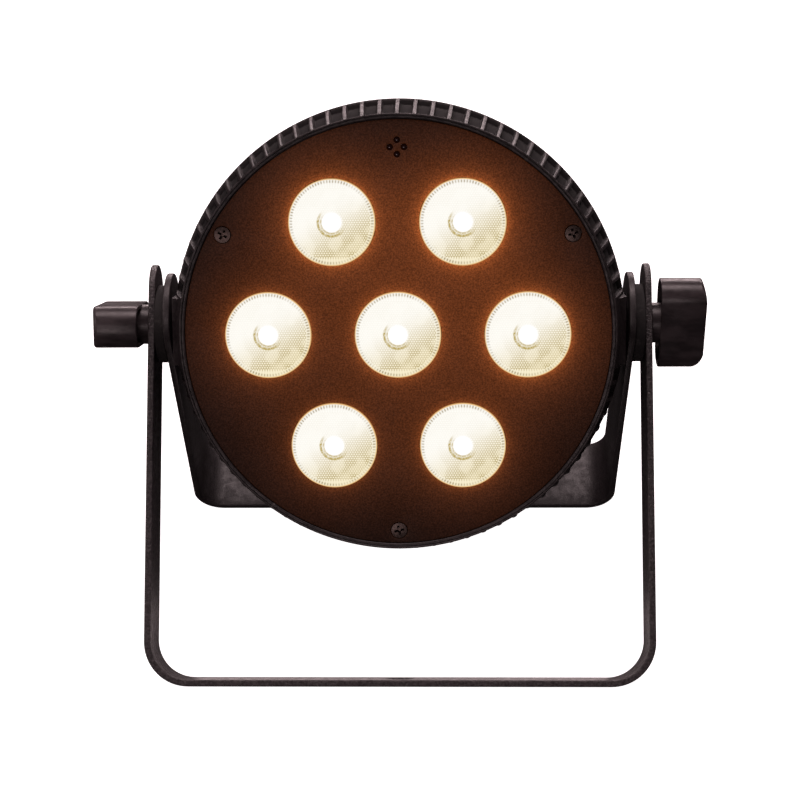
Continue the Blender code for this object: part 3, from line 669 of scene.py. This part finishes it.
def ribbed_casing():
    """Ring of cooling ribs behind a stepped lip, with a flat pad round each pivot."""
    front = -RING_LOW.y
    back = -RING_HIGH.y
    crest = RING_HIGH.z
    start = front - LIP_STEP
    pitch = 2 * pi / RIB_COUNT
    columns = []
    for rib in range(RIB_COUNT):
        middle = rib * pitch
        for offset, pocket in reversed(RIB_SHAPE[1:]):
            columns.append((middle - offset * MM / crest, pocket))
        for offset, pocket in RIB_SHAPE:
            columns.append((middle + offset * MM / crest, pocket))
        columns.append((middle + pitch / 2, 1.0))

    def swell(forward):
        share = (start - forward) / (start - RIB_BACK)
        return LIP_RADIUS + (crest - LIP_RADIUS) * sin(pi / 2 * min(1, max(0, share)))

    # rows of (radius, station forwards, share of the pocket depth): seat, lip, ribs, back, bore
    rows = [(SEAT_RADIUS, BORE_FRONT, 0), (SEAT_RADIUS, front - 1.05 * MM, 0),
            (94.15 * MM, front - 0.62 * MM, 0), (94.4 * MM, front - 0.5 * MM, 0),
            (95.0 * MM, front - 0.5 * MM, 0), (95.12 * MM, front - 0.95 * MM, 0),
            (95.32 * MM, front - 0.95 * MM, 0), (95.42 * MM, front - 0.2 * MM, 0),
            (95.6 * MM, front - 0.02 * MM, 0), (95.85 * MM, front, 0),
            (96.1 * MM, front - 0.08 * MM, 0), (LIP_RADIUS, front - 0.35 * MM, 0),
            (LIP_RADIUS, start, 0)]
    for below, pocket in POCKET_START:
        rows.append((swell(start - below * MM), start - below * MM, pocket))
    run_front = start - 1.2 * MM
    run_back = RIB_BACK + 3.4 * MM
    for step in range(RIB_STATIONS):
        forward = run_front + (run_back - run_front) * step / (RIB_STATIONS - 1)
        rows.append((swell(forward), forward, 1.0))
    for above, pocket in POCKET_END:
        rows.append((crest - 0.02 * MM, RIB_BACK + above * MM, pocket))
    rows += [(crest, RIB_BACK, 0), (crest - 0.1 * MM, RIB_BACK - 0.9 * MM, 0),
             (crest - 0.8 * MM, RIB_BACK - 2.2 * MM, 0), (98.7 * MM, -2.6 * MM, 0),
             (98.2 * MM, -4 * MM, 0), (97.2 * MM, back + 0.8 * MM, 0), (96.6 * MM, back, 0),
             (93.5 * MM, back, 0), (BORE_RADIUS, back + 3 * MM, 0), (BORE_RADIUS, BORE_FRONT, 0)]
    bm = bmesh.new()
    # pocket depth per vertex, which also masks the painted shade in the rib pockets
    pocket_shade_layer = bm.verts.layers.float.new("pocket")
    rings = []
    for radius, forward, share in rows:
        ring = []
        for angle, pocket in columns:
            from_pivot = abs((angle + pi / 2) % pi - pi / 2)
            by_pivot = from_pivot < PAD_HALF_ANGLE
            reach = radius if by_pivot else radius - RIB_DEPTH * pocket * share
            if by_pivot and forward < PAD_FRONT and radius > SEAT_RADIUS:
                reach = PAD_REACH / cos(from_pivot)
            vertex = bm.verts.new((reach * cos(angle), -forward, reach * sin(angle)))
            vertex[pocket_shade_layer] = 0.0 if by_pivot else pocket * share
            ring.append(vertex)
        rings.append(ring)
    loft(bm, rings + rings[:1])
    finished(bm, "housing_ring_ribbed", CAST, "head", ["housing_ring"], sharp=40)


ribbed_casing()

# ---- rear shell
# millimetres of radius and station: outer turn, rim round the panel, panel seat, inside
SHELL_PROFILE = [(97, 16.6), (96.9, 17.6), (96.4, 22), (95.6, 28), (94.2, 34), (92.2, 39),
                 (89.6, 43.4), (86.4, 47.4), (83.6, 50.2), (81.2, 52), (80, 52.7), (79.2, 53),
                 (78.75, 52.9), (78.6, 52.5), (78.6, 49.9), (74, 49.9), (74, 47.4), (83, 45),
                 (90.5, 33), (93.5, 16.4), (96.7, 16.3)]
finished(spun([(radius * MM, station * MM) for radius, station in SHELL_PROFILE], 192),
         "rear_shell_casting", CAST, "head", ["rear_shell"], sharp=40)

# ---- front plate
PLATE_SCREWS = [local_centre(f"plate_screw_{number}", HEAD) for number in (1, 2, 3)]
SCREW_LOW, SCREW_HIGH = local_box("plate_screw_1", HEAD)
SCREW_RADIUS = (SCREW_HIGH.x - SCREW_LOW.x) / 2
SENSOR_HOLE = 1.5 * MM
SENSOR_SPREAD = 3.1 * MM
PLATE_EDGE = 0.25 * MM
SENSOR = local_centre("sensor_module", HEAD)
SENSOR_PLACES = [(SENSOR.x + dx * SENSOR_SPREAD, SENSOR.z + dz * SENSOR_SPREAD)
                 for dx, dz in ((0, 1), (0, -1), (1, 0), (-1, 0))]


def front_plate():
    holes = [circle(LENS_RADIUS + GAP, (spot.x, spot.z), 96) for spot in LENS_CENTRES]
    holes += [circle(SCREW_RADIUS + GAP, (spot.x, spot.z), 40) for spot in PLATE_SCREWS]
    holes += [circle(SENSOR_HOLE, spot, 24) for spot in SENSOR_PLACES]
    outline = circle(PLATE_HIGH.x, steps=256)
    bm = sheet_mesh(outline, holes, PLATE_LOW.y, PLATE_HIGH.y, PLATE_EDGE, facing_front)
    finished(bm, "front_plate_sheet", PLATE, "head", ["front_plate"])


front_plate()

# ---- lenses
BEAD_PITCH = 1.1 * MM
BEAD_HEIGHT = 0.2 * MM
FINE = BEAD_PITCH / 5
BEAD_FIELD = 17.0 * MM
FLAT_SPOT = 4.3 * MM
FLUTES = 88
FLUTE_MIDDLE = 17.75 * MM
FLUTE_HALF_BAND = 0.85 * MM
FLUTE_DEPTH = 0.22 * MM
RIM_SLOPE_START = 16.3 * MM
RIM_FRONT = -0.4 * MM
RIM_RADII = (17.0, 17.35, 17.75, 18.15, 18.5, 18.75, 18.95, LENS_RADIUS / MM)


def bead_gap(x, z):
    """How far a point is from its bead's middle: 0 at the crown, 1 at the corners."""
    row_height = BEAD_PITCH * sqrt(3) / 2
    best = BEAD_PITCH
    row = round(z / row_height)
    for near in (row - 1, row, row + 1):
        shift = (near % 2) * BEAD_PITCH / 2
        column = round((x - shift) / BEAD_PITCH)
        best = min(best, hypot(x - column * BEAD_PITCH - shift, z - near * row_height))
    return best / (BEAD_PITCH / sqrt(3))


def lens_mesh():
    """Beaded field, fluted rim and side wall, centred on the lens axis, front towards -Y."""
    front = LENS_LOW.y - PLATE_LOW.y
    back = LENS_HIGH.y - PLATE_LOW.y
    points = [(0.0, 0.0)]
    count = ceil(BEAD_FIELD / FINE)
    for row in range(-count - 3, count + 4):
        z = row * FINE * sqrt(3) / 2
        for column in range(-count - 1, count + 2):
            x = (column + (row % 2) / 2) * FINE
            if 0 < hypot(x, z) < BEAD_FIELD - 0.12 * MM:
                points.append((x, z))
    around = FLUTES * 4
    for radius in RIM_RADII:
        for k in range(around):
            angle = 2 * pi * k / around
            points.append((radius * MM * cos(angle), radius * MM * sin(angle)))
    flat, _, faces, *_ = delaunay_2d_cdt([Vector(point) for point in points], [], [], 0, 1e-9)
    bm = bmesh.new()
    gap_layer = bm.verts.layers.float.new("gap")
    flute_layer = bm.verts.layers.float.new("flute")
    verts = []
    for x, z in flat:
        radius = hypot(x, z)
        gap = bead_gap(x, z) if radius < BEAD_FIELD - 0.1 * MM else 0.0
        tick = 0.5 - 0.5 * cos(FLUTES * atan2(z, x))
        band = max(0.0, 1 - abs(radius - FLUTE_MIDDLE) / FLUTE_HALF_BAND)
        slope = (radius - RIM_SLOPE_START) / (LENS_RADIUS - RIM_SLOPE_START)
        bulk = front + (RIM_FRONT - front) * min(1.0, max(0.0, slope)) ** 1.6
        dome = BEAD_HEIGHT * (1 - gap * gap)
        if radius <= FLAT_SPOT:
            dome = BEAD_HEIGHT * 0.4
        if radius >= BEAD_FIELD:
            dome = 0.0
        depth = bulk + BEAD_HEIGHT - dome + FLUTE_DEPTH * band * tick
        vertex = bm.verts.new((x, depth, z))
        vertex[gap_layer] = gap
        vertex[flute_layer] = min(1.0, band * 1.6) * tick ** 1.5
        verts.append(vertex)
    for face in faces:
        bm.faces.new([verts[k] for k in face])
    rim = [edge for edge in bm.edges if edge.is_boundary]
    for station, radius in ((0.3 * MM, LENS_RADIUS), (back * 0.999, LENS_RADIUS - 0.1 * MM),
                            (back, LENS_RADIUS - 2.1 * MM)):
        grown = bmesh.ops.extrude_edge_only(bm, edges=rim)["geom"]
        for vertex in [item for item in grown if isinstance(item, bmesh.types.BMVert)]:
            scale = radius / hypot(vertex.co.x, vertex.co.z)
            vertex.co = (vertex.co.x * scale, station, vertex.co.z * scale)
            vertex[gap_layer] = 0.0
            vertex[flute_layer] = 0.0
        rim = [item for item in grown if isinstance(item, bmesh.types.BMEdge)]
    bmesh.ops.contextual_create(bm, geom=rim)
    return smoothed(plain_mesh(bm), "beaded_lens", LIT, 60)


BEADED = lens_mesh()
for number, spot in enumerate(LENS_CENTRES, 1):
    place = HEAD @ Matrix.Translation((spot.x, PLATE_LOW.y, spot.z))
    dressed(BEADED, f"lens_{number}_beaded", "head", [f"lens_{number}"], place)


# ---- screws
def screw_mesh(name, radius, head, crown, shank):
    """Countersunk head with a slight crown and a tapered cross recess, top at y = 0."""
    profile = [(0.02 * radius, -crown), (0.5 * radius, -0.75 * crown),
               (0.86 * radius, -0.2 * crown), (0.97 * radius, 0), (radius, 0.08 * radius),
               (radius, 0.16 * radius), (shank, head), (shank, head + 2 * radius),
               (0.02 * radius, head + 2 * radius)]
    mesh = plain_mesh(spun(profile, 48, closed=False))
    cutter = bmesh.new()
    rows = []
    for station, size in ((-crown - 0.5 * MM, 1.04), (0.15 * radius, 0.8), (0.62 * radius, 0.34)):
        arm = 0.66 * radius * size
        slot = 0.15 * radius * (0.6 + 0.4 * size)
        bay = slot * 1.5
        outline = []
        for quarter in range(4):
            turn = Matrix.Rotation(quarter * pi / 2, 2)
            for u, v in ((arm, -slot), (arm, slot), (bay, slot), (slot * 1.05, slot * 1.05),
                         (slot, bay)):
                point = turn @ Vector((u, v))
                outline.append((point.x, station, point.y))
        rows.append([cutter.verts.new(point) for point in outline])
    loft(cutter, rows, capped=True)
    return smoothed(carved(mesh, cutter), name, BLACK_STEEL, 28)


CROWN_ROOM = 0.3 * MM
PLATE_SCREW = screw_mesh("plate_screw", SCREW_RADIUS, head=1.9 * MM, crown=0.25 * MM,
                         shank=1.9 * MM)
for number, spot in enumerate(PLATE_SCREWS, 1):
    place = HEAD @ Matrix.Translation((spot.x, SCREW_LOW.y + CROWN_ROOM, spot.z))
    turn = Matrix.Rotation(radians(25 + 47 * number), 4, "Y")
    dressed(PLATE_SCREW, f"plate_screw_{number}_head", "head",
            [f"plate_screw_{number}"], place @ turn)


# ---- sensor domes
DOME_SUNK = 0.35 * MM
DOME_DEPTH = 1.9 * MM


def dome_mesh(radius):
    """A smoked dome, top at y = 0."""
    profile = [(0.02 * radius, 0)]
    for step in range(1, 9):
        angle = pi / 2 * step / 8
        profile.append((radius * sin(angle), radius * 0.9 * (1 - cos(angle))))
    profile += [(radius, DOME_DEPTH), (0.02 * radius, DOME_DEPTH)]
    return smoothed(plain_mesh(spun(profile, 24, closed=False)), "sensor_dome", WINDOW, 50)


SENSOR_DOME = dome_mesh(SENSOR_HOLE - 0.1 * MM)
for number, (x, z) in enumerate(SENSOR_PLACES, 1):
    place = HEAD @ Matrix.Translation((x, PLATE_LOW.y + DOME_SUNK, z))
    dressed(SENSOR_DOME, f"sensor_dome_{number}", "head", (), place)

# ---- pivot stacks and knobs
def disc_profile(low, high, bore, radius, edge):
    """A flat ring on the pivot axis with rounded outer rims."""
    return ([(bore, low)] + arc((radius - edge, low + edge), edge, -90, 0)
            + arc((radius - edge, high - edge), edge, 0, 90) + [(bore, high)])


for label in ("left", "right"):
    for part, material, slot, body, place, edge in (
            ("pivot_spacer", PLASTIC, "plastic_black", "head", HEAD, 0.3 * MM),
            ("friction_washer", RUBBER, "rubber_black", "yoke", OUTER, 0.7 * MM)):
        node = f"{part}_{label}"
        low, high = local_box(node, place)
        profile = disc_profile(low.x, high.x, BOLT_HOLE, high.z, edge)
        finished(spun(profile, 96, axis="pivot"), f"{node}_disc", material, body, [node],
                 place)

KNOB_LONG = 42 * MM
KNOB_SHORT = 19 * MM
KNOB_CORNER = 8.5 * MM
KNOB_EDGE = 1.4 * MM
KNOB_WALL = 1.7 * MM
KNOB_FALL_NEAR = 2.1 * MM
KNOB_FALL_FAR = 5 * MM
KNOB_FALL_POWER = 3.5
KNOB_CAP_INSETS = (2.4, 4, 5.8, 7.4, 8.3)
HUB_RADIUS = 9.2 * MM
HUB_PROUD = 3.9 * MM
HUB_EDGE = 0.5 * MM
HUB_BORE = BOLT_HOLE - 0.1 * MM
POCKET_DEPTH = 13 * MM


def knob_outline(inset, steps=14):
    return rounded(KNOB_SHORT, KNOB_LONG, KNOB_CORNER, steps=steps)(inset)


def knob_mesh(start, end):
    """Oblong grip, hollow behind, with an arched end, a small rounded edge and a round hub."""
    def end_face(z):
        fall = KNOB_FALL_NEAR if z > 0 else KNOB_FALL_FAR
        return end - fall * abs(2 * z / KNOB_LONG) ** KNOB_FALL_POWER

    bm = bmesh.new()
    rings = []
    for inset, station in ((0.5 * MM, start), (0.15 * MM, start + 0.12 * MM),
                           (0.0, start + 0.45 * MM)):
        rings.append([bm.verts.new((station, y, z)) for y, z in knob_outline(inset)])
    for step in range(7):
        angle = pi / 2 * step / 6
        inset = KNOB_EDGE * (1 - cos(angle))
        depth = KNOB_EDGE * (1 - sin(angle))
        rings.append([bm.verts.new((end_face(z) - depth, y, z)) for y, z in knob_outline(inset)])
    for inset in KNOB_CAP_INSETS:
        rings.append([bm.verts.new((end_face(z), y, z)) for y, z in knob_outline(inset * MM)])
    loft(bm, rings)
    bm.faces.new(rings[0])
    fill(bm, [rings[-1]])
    mesh = plain_mesh(bm)
    pocket = bmesh.new()
    tool_rows = []
    for station, inset in ((start - 1 * MM, KNOB_WALL - 0.2 * MM), (start, KNOB_WALL),
                           (start + POCKET_DEPTH, KNOB_WALL + 0.8 * MM)):
        tool_rows.append([pocket.verts.new((station, y, z)) for y, z in knob_outline(inset, 8)])
    loft(pocket, tool_rows, capped=True)
    mesh = carved(mesh, pocket)
    hub_start = start - HUB_PROUD
    hub_end = start + POCKET_DEPTH + 1 * MM
    hub = [(HUB_BORE, hub_start)]
    hub += arc((HUB_RADIUS - HUB_EDGE, hub_start + HUB_EDGE), HUB_EDGE, -90, 0)
    hub += [(HUB_RADIUS, hub_end), (HUB_BORE, hub_end)]
    mesh = carved(mesh, spun(hub, 64, axis="pivot"), "UNION")
    return smoothed(mesh, "knob_grip", KNOB_PLASTIC, 35)


def long_axis_turn(node):
    """The angle about the pivot axis at which an oblong node's long side stands."""
    best = (0, 0)
    for degree in range(-90, 90):
        low, high = local_box(node, turned_frame(radians(degree)))
        best = max(best, (high.z - low.z, degree))
    return radians(best[1])


for label, side in (("left", -1), ("right", 1)):
    node = f"knob_{label}"
    low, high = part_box(node)
    reach = max(abs(low.x), abs(high.x))
    start = min(abs(low.x), abs(high.x)) + HUB_PROUD
    mesh = knob_mesh(start, reach - 0.05 * MM)
    if side < 0:
        mesh.transform(Matrix.Scale(-1, 4, (1, 0, 0)))
        mesh.flip_normals()
    dressed(mesh, f"{node}_grip", node, [node], turned_frame(long_axis_turn(node)))

# ---- rear panel
BUTTONS = [local_centre(f"menu_button_{number}", HEAD) for number in range(1, 5)]
BUTTON_LOW, BUTTON_HIGH = local_box("menu_button_1", HEAD)
BUTTON_RADIUS = (BUTTON_HIGH.x - BUTTON_LOW.x) / 2
BUTTON_EDGE = 0.7 * MM
REAR_SCREWS = [local_centre(f"rear_screw_{number}", HEAD) for number in range(1, 5)]
DISPLAY_LOW, DISPLAY_HIGH = local_box("display_window", HEAD)
DISPLAY_SIZE = DISPLAY_HIGH - DISPLAY_LOW
DISPLAY_CENTRE = ((DISPLAY_LOW.x + DISPLAY_HIGH.x) / 2, (DISPLAY_LOW.z + DISPLAY_HIGH.z) / 2)
DISPLAY_CORNER = 2 * MM
POWER = {name: local_centre(name, HEAD) for name in ("power_inlet", "power_outlet")}
SIGNAL = {name: local_centre(name, HEAD) for name in ("dmx_input", "dmx_output")}
VENT_ROWS = 5
VENT_FIRST = 14 * MM
VENT_STEP = 7 * MM
VENT_X = 45 * MM
VENT_SIZE = (20 * MM, 3 * MM, 1.45 * MM)
REAR_SCREW_HOLE = 2.6 * MM
POWER_CUTOUT = (27.6 * MM, 20.6 * MM, 2 * MM)
SIGNAL_CUTOUT = 12.3 * MM


def rear_panel():
    holes = [circle(BUTTON_RADIUS + GAP, (spot.x, spot.z), 32) for spot in BUTTONS]
    holes += [circle(REAR_SCREW_HOLE, (spot.x, spot.z), 24) for spot in REAR_SCREWS]
    holes.append(rounded(DISPLAY_SIZE.x + 2 * GAP, DISPLAY_SIZE.z + 2 * GAP, DISPLAY_CORNER,
                         DISPLAY_CENTRE))
    holes += [rounded(*POWER_CUTOUT, (spot.x, spot.z)) for spot in POWER.values()]
    holes += [circle(SIGNAL_CUTOUT, (spot.x, spot.z)) for spot in SIGNAL.values()]
    for side in (-1, 1):
        for row in range(VENT_ROWS):
            centre = (side * VENT_X, VENT_FIRST + VENT_STEP * row)
            holes.append(rounded(*VENT_SIZE, centre))
    bm = sheet_mesh(circle(PANEL_HIGH.x, steps=192), holes, 0, PANEL_HIGH.y - PANEL_LOW.y,
                    0.4 * MM, facing_back(PANEL_HIGH.y))
    finished(bm, "rear_panel_cover", PANEL_PLASTIC, "head", ["rear_panel"])


rear_panel()
REAR_SCREW = screw_mesh("rear_screw", 3.3 * MM, head=1.9 * MM, crown=0.9 * MM, shank=1.8 * MM)
FLANGE_SCREW = screw_mesh("flange_screw", 1.7 * MM, head=0.9 * MM, crown=0.35 * MM,
                          shank=0.9 * MM)


def rear_screw(mesh, name, x, z, station, turn, replaced=()):
    """A screw whose head faces backwards."""
    facing = Matrix.Rotation(pi, 4, "Z") @ Matrix.Rotation(turn, 4, "Y")
    place = HEAD @ Matrix.Translation((x, station, z)) @ facing
    dressed(mesh, name, "head", replaced, place)


for number, spot in enumerate(REAR_SCREWS, 1):
    rear_screw(REAR_SCREW, f"rear_screw_{number}_head", spot.x, spot.z, PANEL_HIGH.y + 0.75 * MM,
               radians(31 * number), [f"rear_screw_{number}"])


WELL_FLOOR = 39 * MM
WELL_WALL = 1.2 * MM
FLANGE_THICKNESS = 2 * MM
FLANGE_EDGE = 0.45 * MM
PIN_TIP = 47 * MM


def cup(shape, depth_front, depth_back, wall):
    """Inner walls and floor of a socket, as a thin cup open to the rear."""
    bm = bmesh.new()
    rows = []
    for inset, station in ((-wall, depth_back), (-wall, depth_front), (0.0, depth_front + wall),
                           (0.0, depth_back)):
        rows.append([bm.verts.new((u, station, v)) for u, v in shape(inset)])
    loft(bm, [rows[0], rows[1]])
    loft(bm, [rows[2], rows[3], rows[0]])
    bm.faces.new(rows[1])
    bm.faces.new(rows[2])
    return bm


def pin_block(bm, centre, size, front, back):
    """A contact: a bar with a tapered tip, standing in a socket."""
    outline = rounded(size[0], size[1], min(size) * 0.45, centre, 4)
    rows = []
    for inset, station in ((0, front), (0, back - 0.8 * MM), (min(size) * 0.25, back)):
        rows.append([bm.verts.new((u, station, v)) for u, v in outline(inset)])
    loft(bm, rows, capped=True)


def socket(node, corner, recess, corner_screws, pins, spot):
    """A rounded flange round a recess, with its well, contacts and two screws."""
    low, high = local_box(node, HEAD)
    middle = (spot.x, 0, spot.z)
    outer = rounded(high.x - low.x, high.z - low.z, corner)
    flange = sheet_mesh(outer, [recess], 0, FLANGE_THICKNESS, FLANGE_EDGE, facing_back(high.y))
    finished(flange, f"{node}_flange", SOCKET_PLASTIC, "head", [node], at=middle)
    well = cup(recess, WELL_FLOOR - WELL_WALL, high.y - FLANGE_THICKNESS + 0.1 * MM, WELL_WALL)
    finished(well, f"{node}_well", SOCKET_PLASTIC, "head", at=middle)
    if pins:
        bm = bmesh.new()
        for x, z, wide, tall in pins:
            pin_block(bm, (x, z), (wide, tall), WELL_FLOOR - 0.4 * MM, PIN_TIP)
        finished(bm, f"{node}_pins", GOLD, "head", at=middle)
    for count, (x, z) in enumerate(corner_screws, 1):
        rear_screw(FLANGE_SCREW, f"{node}_flange_screw_{count}", spot.x + x, spot.z + z,
                   high.y + 0.3 * MM, radians(20 + 50 * count))


POWER_PINS = [(-7 * MM, -1.5 * MM, 2 * MM, 5 * MM), (7 * MM, -1.5 * MM, 2 * MM, 5 * MM),
              (0, 2.5 * MM, 2 * MM, 5 * MM)]
POWER_SCREWS = [(-15.6 * MM, 0), (15.6 * MM, 0)]
for node, spot in POWER.items():
    socket(node, 3 * MM, rounded(24 * MM, 16.5 * MM, 3.5 * MM), POWER_SCREWS, POWER_PINS, spot)
XLR_SCREWS = [(-9.6 * MM, 12.2 * MM), (9.6 * MM, -12.2 * MM)]
XLR_PINS = [(3.9 * MM * cos(radians(turn)), 3.9 * MM * sin(radians(turn)), 2.2 * MM, 2.2 * MM)
            for turn in (180, 270, 0)]
for node, spot in SIGNAL.items():
    socket(node, 2.5 * MM, circle(9.6 * MM), XLR_SCREWS, XLR_PINS if node == "dmx_input" else None,
           spot)

# the output socket's carrier with three contact holes, and its push latch
INSERT_FACE = 51 * MM
LATCH_FACE = 55.6 * MM
LATCH_RISE = 12 * MM
spot = SIGNAL["dmx_output"]
holes = [circle(1.3 * MM, (x, z), 20) for x, z, *_ in XLR_PINS]
insert = sheet_mesh(circle(7.6 * MM), holes, 0, 11 * MM, 0.5 * MM, facing_back(INSERT_FACE))
finished(insert, "dmx_output_insert", SOCKET_PLASTIC, "head",
         at=(spot.x, 0, spot.z))
latch = sheet_mesh(rounded(7 * MM, 3.6 * MM, 1 * MM), [], 0, 2.4 * MM, 0.4 * MM,
                   facing_back(LATCH_FACE))
finished(latch, "dmx_output_latch", ZINC, "head",
         at=(spot.x, 0, spot.z + LATCH_RISE))

# ---- display and buttons
outline = rounded(DISPLAY_SIZE.x, DISPLAY_SIZE.z, DISPLAY_CORNER, DISPLAY_CENTRE)
pane = sheet_mesh(outline, [], 0, DISPLAY_SIZE.y, 0.35 * MM, facing_back(DISPLAY_HIGH.y))
finished(pane, "display_window_pane", WINDOW, "head", ["display_window"])

for number, spot in enumerate(BUTTONS, 1):
    low, high = local_box(f"menu_button_{number}", HEAD)
    top = high.y
    profile = [(0.05 * MM, low.y), (BUTTON_RADIUS, low.y)]
    profile += arc((BUTTON_RADIUS - BUTTON_EDGE, top - BUTTON_EDGE), BUTTON_EDGE, 0, 90)
    profile += [(BUTTON_RADIUS * 0.66, top - 0.1 * MM), (BUTTON_RADIUS * 0.4, top - 0.32 * MM),
                (0.05 * MM, top - 0.4 * MM)]
    finished(spun(profile, 48, closed=False), f"menu_button_{number}_cap", RUBBER,
             f"button_{number}", [f"menu_button_{number}"],
             at=(spot.x, 0, spot.z))


EYE_HOLE = 6.5 * MM


def safety_eye():
    """Flat tab with a round back and a hole for the safety wire."""
    low, high = local_box("safety_eye", HEAD)
    half = (high.x - low.x) / 2
    reach = high.y - low.y

    def outline(inset):
        """Points as (x, distance from the panel)."""
        points = [(-half + inset, inset * 0.2), (half - inset, inset * 0.2)]
        return points + arc((0, reach - half), half - inset, 0, 180, 24)

    hole = circle(EYE_HOLE, (0, reach - half))
    bm = sheet_mesh(outline, [hole], 0, high.z - low.z, 0.7 * MM,
                    lambda u, v, depth: (u, low.y + v, low.z + depth), 4)
    finished(bm, "safety_eye_loop", ZINC, "head", ["safety_eye"])


safety_eye()

# ---- pieces inside the head
INSIDE = {"led_board": WHITE_BOARD, "heat_sink": ALUMINIUM, "power_supply": ALUMINIUM,
          "control_board": GREEN_BOARD, "sensor_module": WINDOW, "pivot_bolt_left": ZINC,
          "pivot_bolt_right": ZINC}
for number in range(1, LENS_COUNT + 1):
    INSIDE[f"lens_holder_{number}"] = PLASTIC
    INSIDE[f"led_emitter_{number}"] = PHOSPHOR
for node, material in INSIDE.items():
    data = frame["nodes"][node].data
    data.materials.clear()
    data.materials.append(material)


# ---- studio
STUDIO_TINT = (1.0, 0.8, 0.81)
CARD_WIDTH = 190 * MM
CARD_DEPTH = 45 * MM
CARD_START = 24 * MM
CARD_HEIGHT = 1 * MM
CARD_GLOW = 0.9
FLOOR_HALF = 12
FLOOR_DROP = 0.2 * MM
WORLD_GLOW = 0.03
CAMERA_AZIMUTH = radians(1.69)
CAMERA_ELEVATION = radians(38.16)
CAMERA_ROLL = radians(-1.16)
CAMERA_DISTANCE = 849 * MM
CAMERA_DROP = 35.3 * MM
CAMERA_LENS = 83.02
# name, azimuth and elevation in degrees, distance, width and height in metres, watts
LAMPS = (("overhead", 182, 74, 1.6, 1.6, 0.7, 20), ("front_fill", -12, 20, 2.2, 1.4, 0.6, 7),
         ("left_side", -78, 22, 1.7, 0.6, 1.2, 5), ("right_side", 80, 25, 1.7, 0.5, 1.2, 2),
         ("rear_fill", 176, 9, 1.8, 1.8, 0.4, 14))


def direction(azimuth, elevation):
    """Unit vector from the object towards a viewer or a lamp; azimuth 0 is in front, at -Y."""
    return Vector((sin(azimuth) * cos(elevation), -cos(azimuth) * cos(elevation), sin(elevation)))


def aimed(item, target):
    item.rotation_mode = "QUATERNION"
    item.rotation_quaternion = (target - item.location).to_track_quat("-Z", "Y")


def camera():
    data = bpy.data.cameras.new("camera")
    data.lens = CAMERA_LENS
    data.sensor_width = 36
    data.clip_start = 0.01
    data.clip_end = 50
    back = direction(CAMERA_AZIMUTH, CAMERA_ELEVATION)
    roll = Quaternion(back, CAMERA_ROLL)
    up = roll @ direction(CAMERA_AZIMUTH, CAMERA_ELEVATION + pi / 2)
    target = PIVOT - up * CAMERA_DROP
    item = placed("camera", data)
    item.location = target + back * CAMERA_DISTANCE
    aimed(item, target)
    item.rotation_quaternion = roll @ item.rotation_quaternion
    bpy.context.scene.camera = item


def softbox(name, azimuth, elevation, distance, width, height, power):
    data = bpy.data.lights.new(name, "AREA")
    data.shape = "RECTANGLE"
    data.size = width
    data.size_y = height
    data.energy = power
    data.color = STUDIO_TINT
    item = placed(name, data)
    item.location = PIVOT + direction(radians(azimuth), radians(elevation)) * distance
    aimed(item, PIVOT)


def staged(bm, name, material, hidden):
    """Stand a studio surface in place, unseen by some kinds of ray."""
    mesh = plain_mesh(bm)
    mesh.materials.append(material)
    item = placed(name, mesh)
    for ray in hidden:
        setattr(item, f"visible_{ray}", False)


def floor():
    bm = bmesh.new()
    bmesh.ops.create_grid(bm, x_segments=8, y_segments=8, size=FLOOR_HALF)
    bmesh.ops.translate(bm, verts=bm.verts, vec=(0, 0, -FLOOR_DROP))
    staged(bm, "floor", studio_white(), ("diffuse", "glossy"))


def bounce_card():
    """Low white card behind the front crossbar, seen only as a reflection in its inner face."""
    bm = bmesh.new()
    bmesh.ops.create_grid(bm, x_segments=1, y_segments=1, size=0.5)
    size = Matrix.Diagonal((CARD_WIDTH, CARD_DEPTH, 1, 1))
    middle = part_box("outer_bracket")[0].y + CARD_START + CARD_DEPTH / 2
    place = Matrix.Translation((0, middle, CARD_HEIGHT))
    bmesh.ops.transform(bm, matrix=place @ size, verts=bm.verts)
    paint = Paint("card_white", (0.9, 0.9, 0.9), 0.8)
    paint.feed("Roughness", paint.spread(paint.noise(5), 0.3, 0.7, 0.75, 0.85))
    paint.set("Emission Color", (*STUDIO_TINT, 1))
    paint.set("Emission Strength", CARD_GLOW)
    staged(bm, "bounce_card", paint.material, ("camera", "diffuse", "shadow"))


def world():
    made = bpy.data.worlds.new("studio")
    made.use_nodes = True
    background = made.node_tree.nodes["Background"]
    background.inputs["Color"].default_value = (*STUDIO_TINT, 1)
    background.inputs["Strength"].default_value = WORLD_GLOW
    bpy.context.scene.world = made


camera()
floor()
bounce_card()
world()
for lamp in LAMPS:
    softbox(*lamp)
bpy.context.scene.view_settings.view_transform = "Standard"
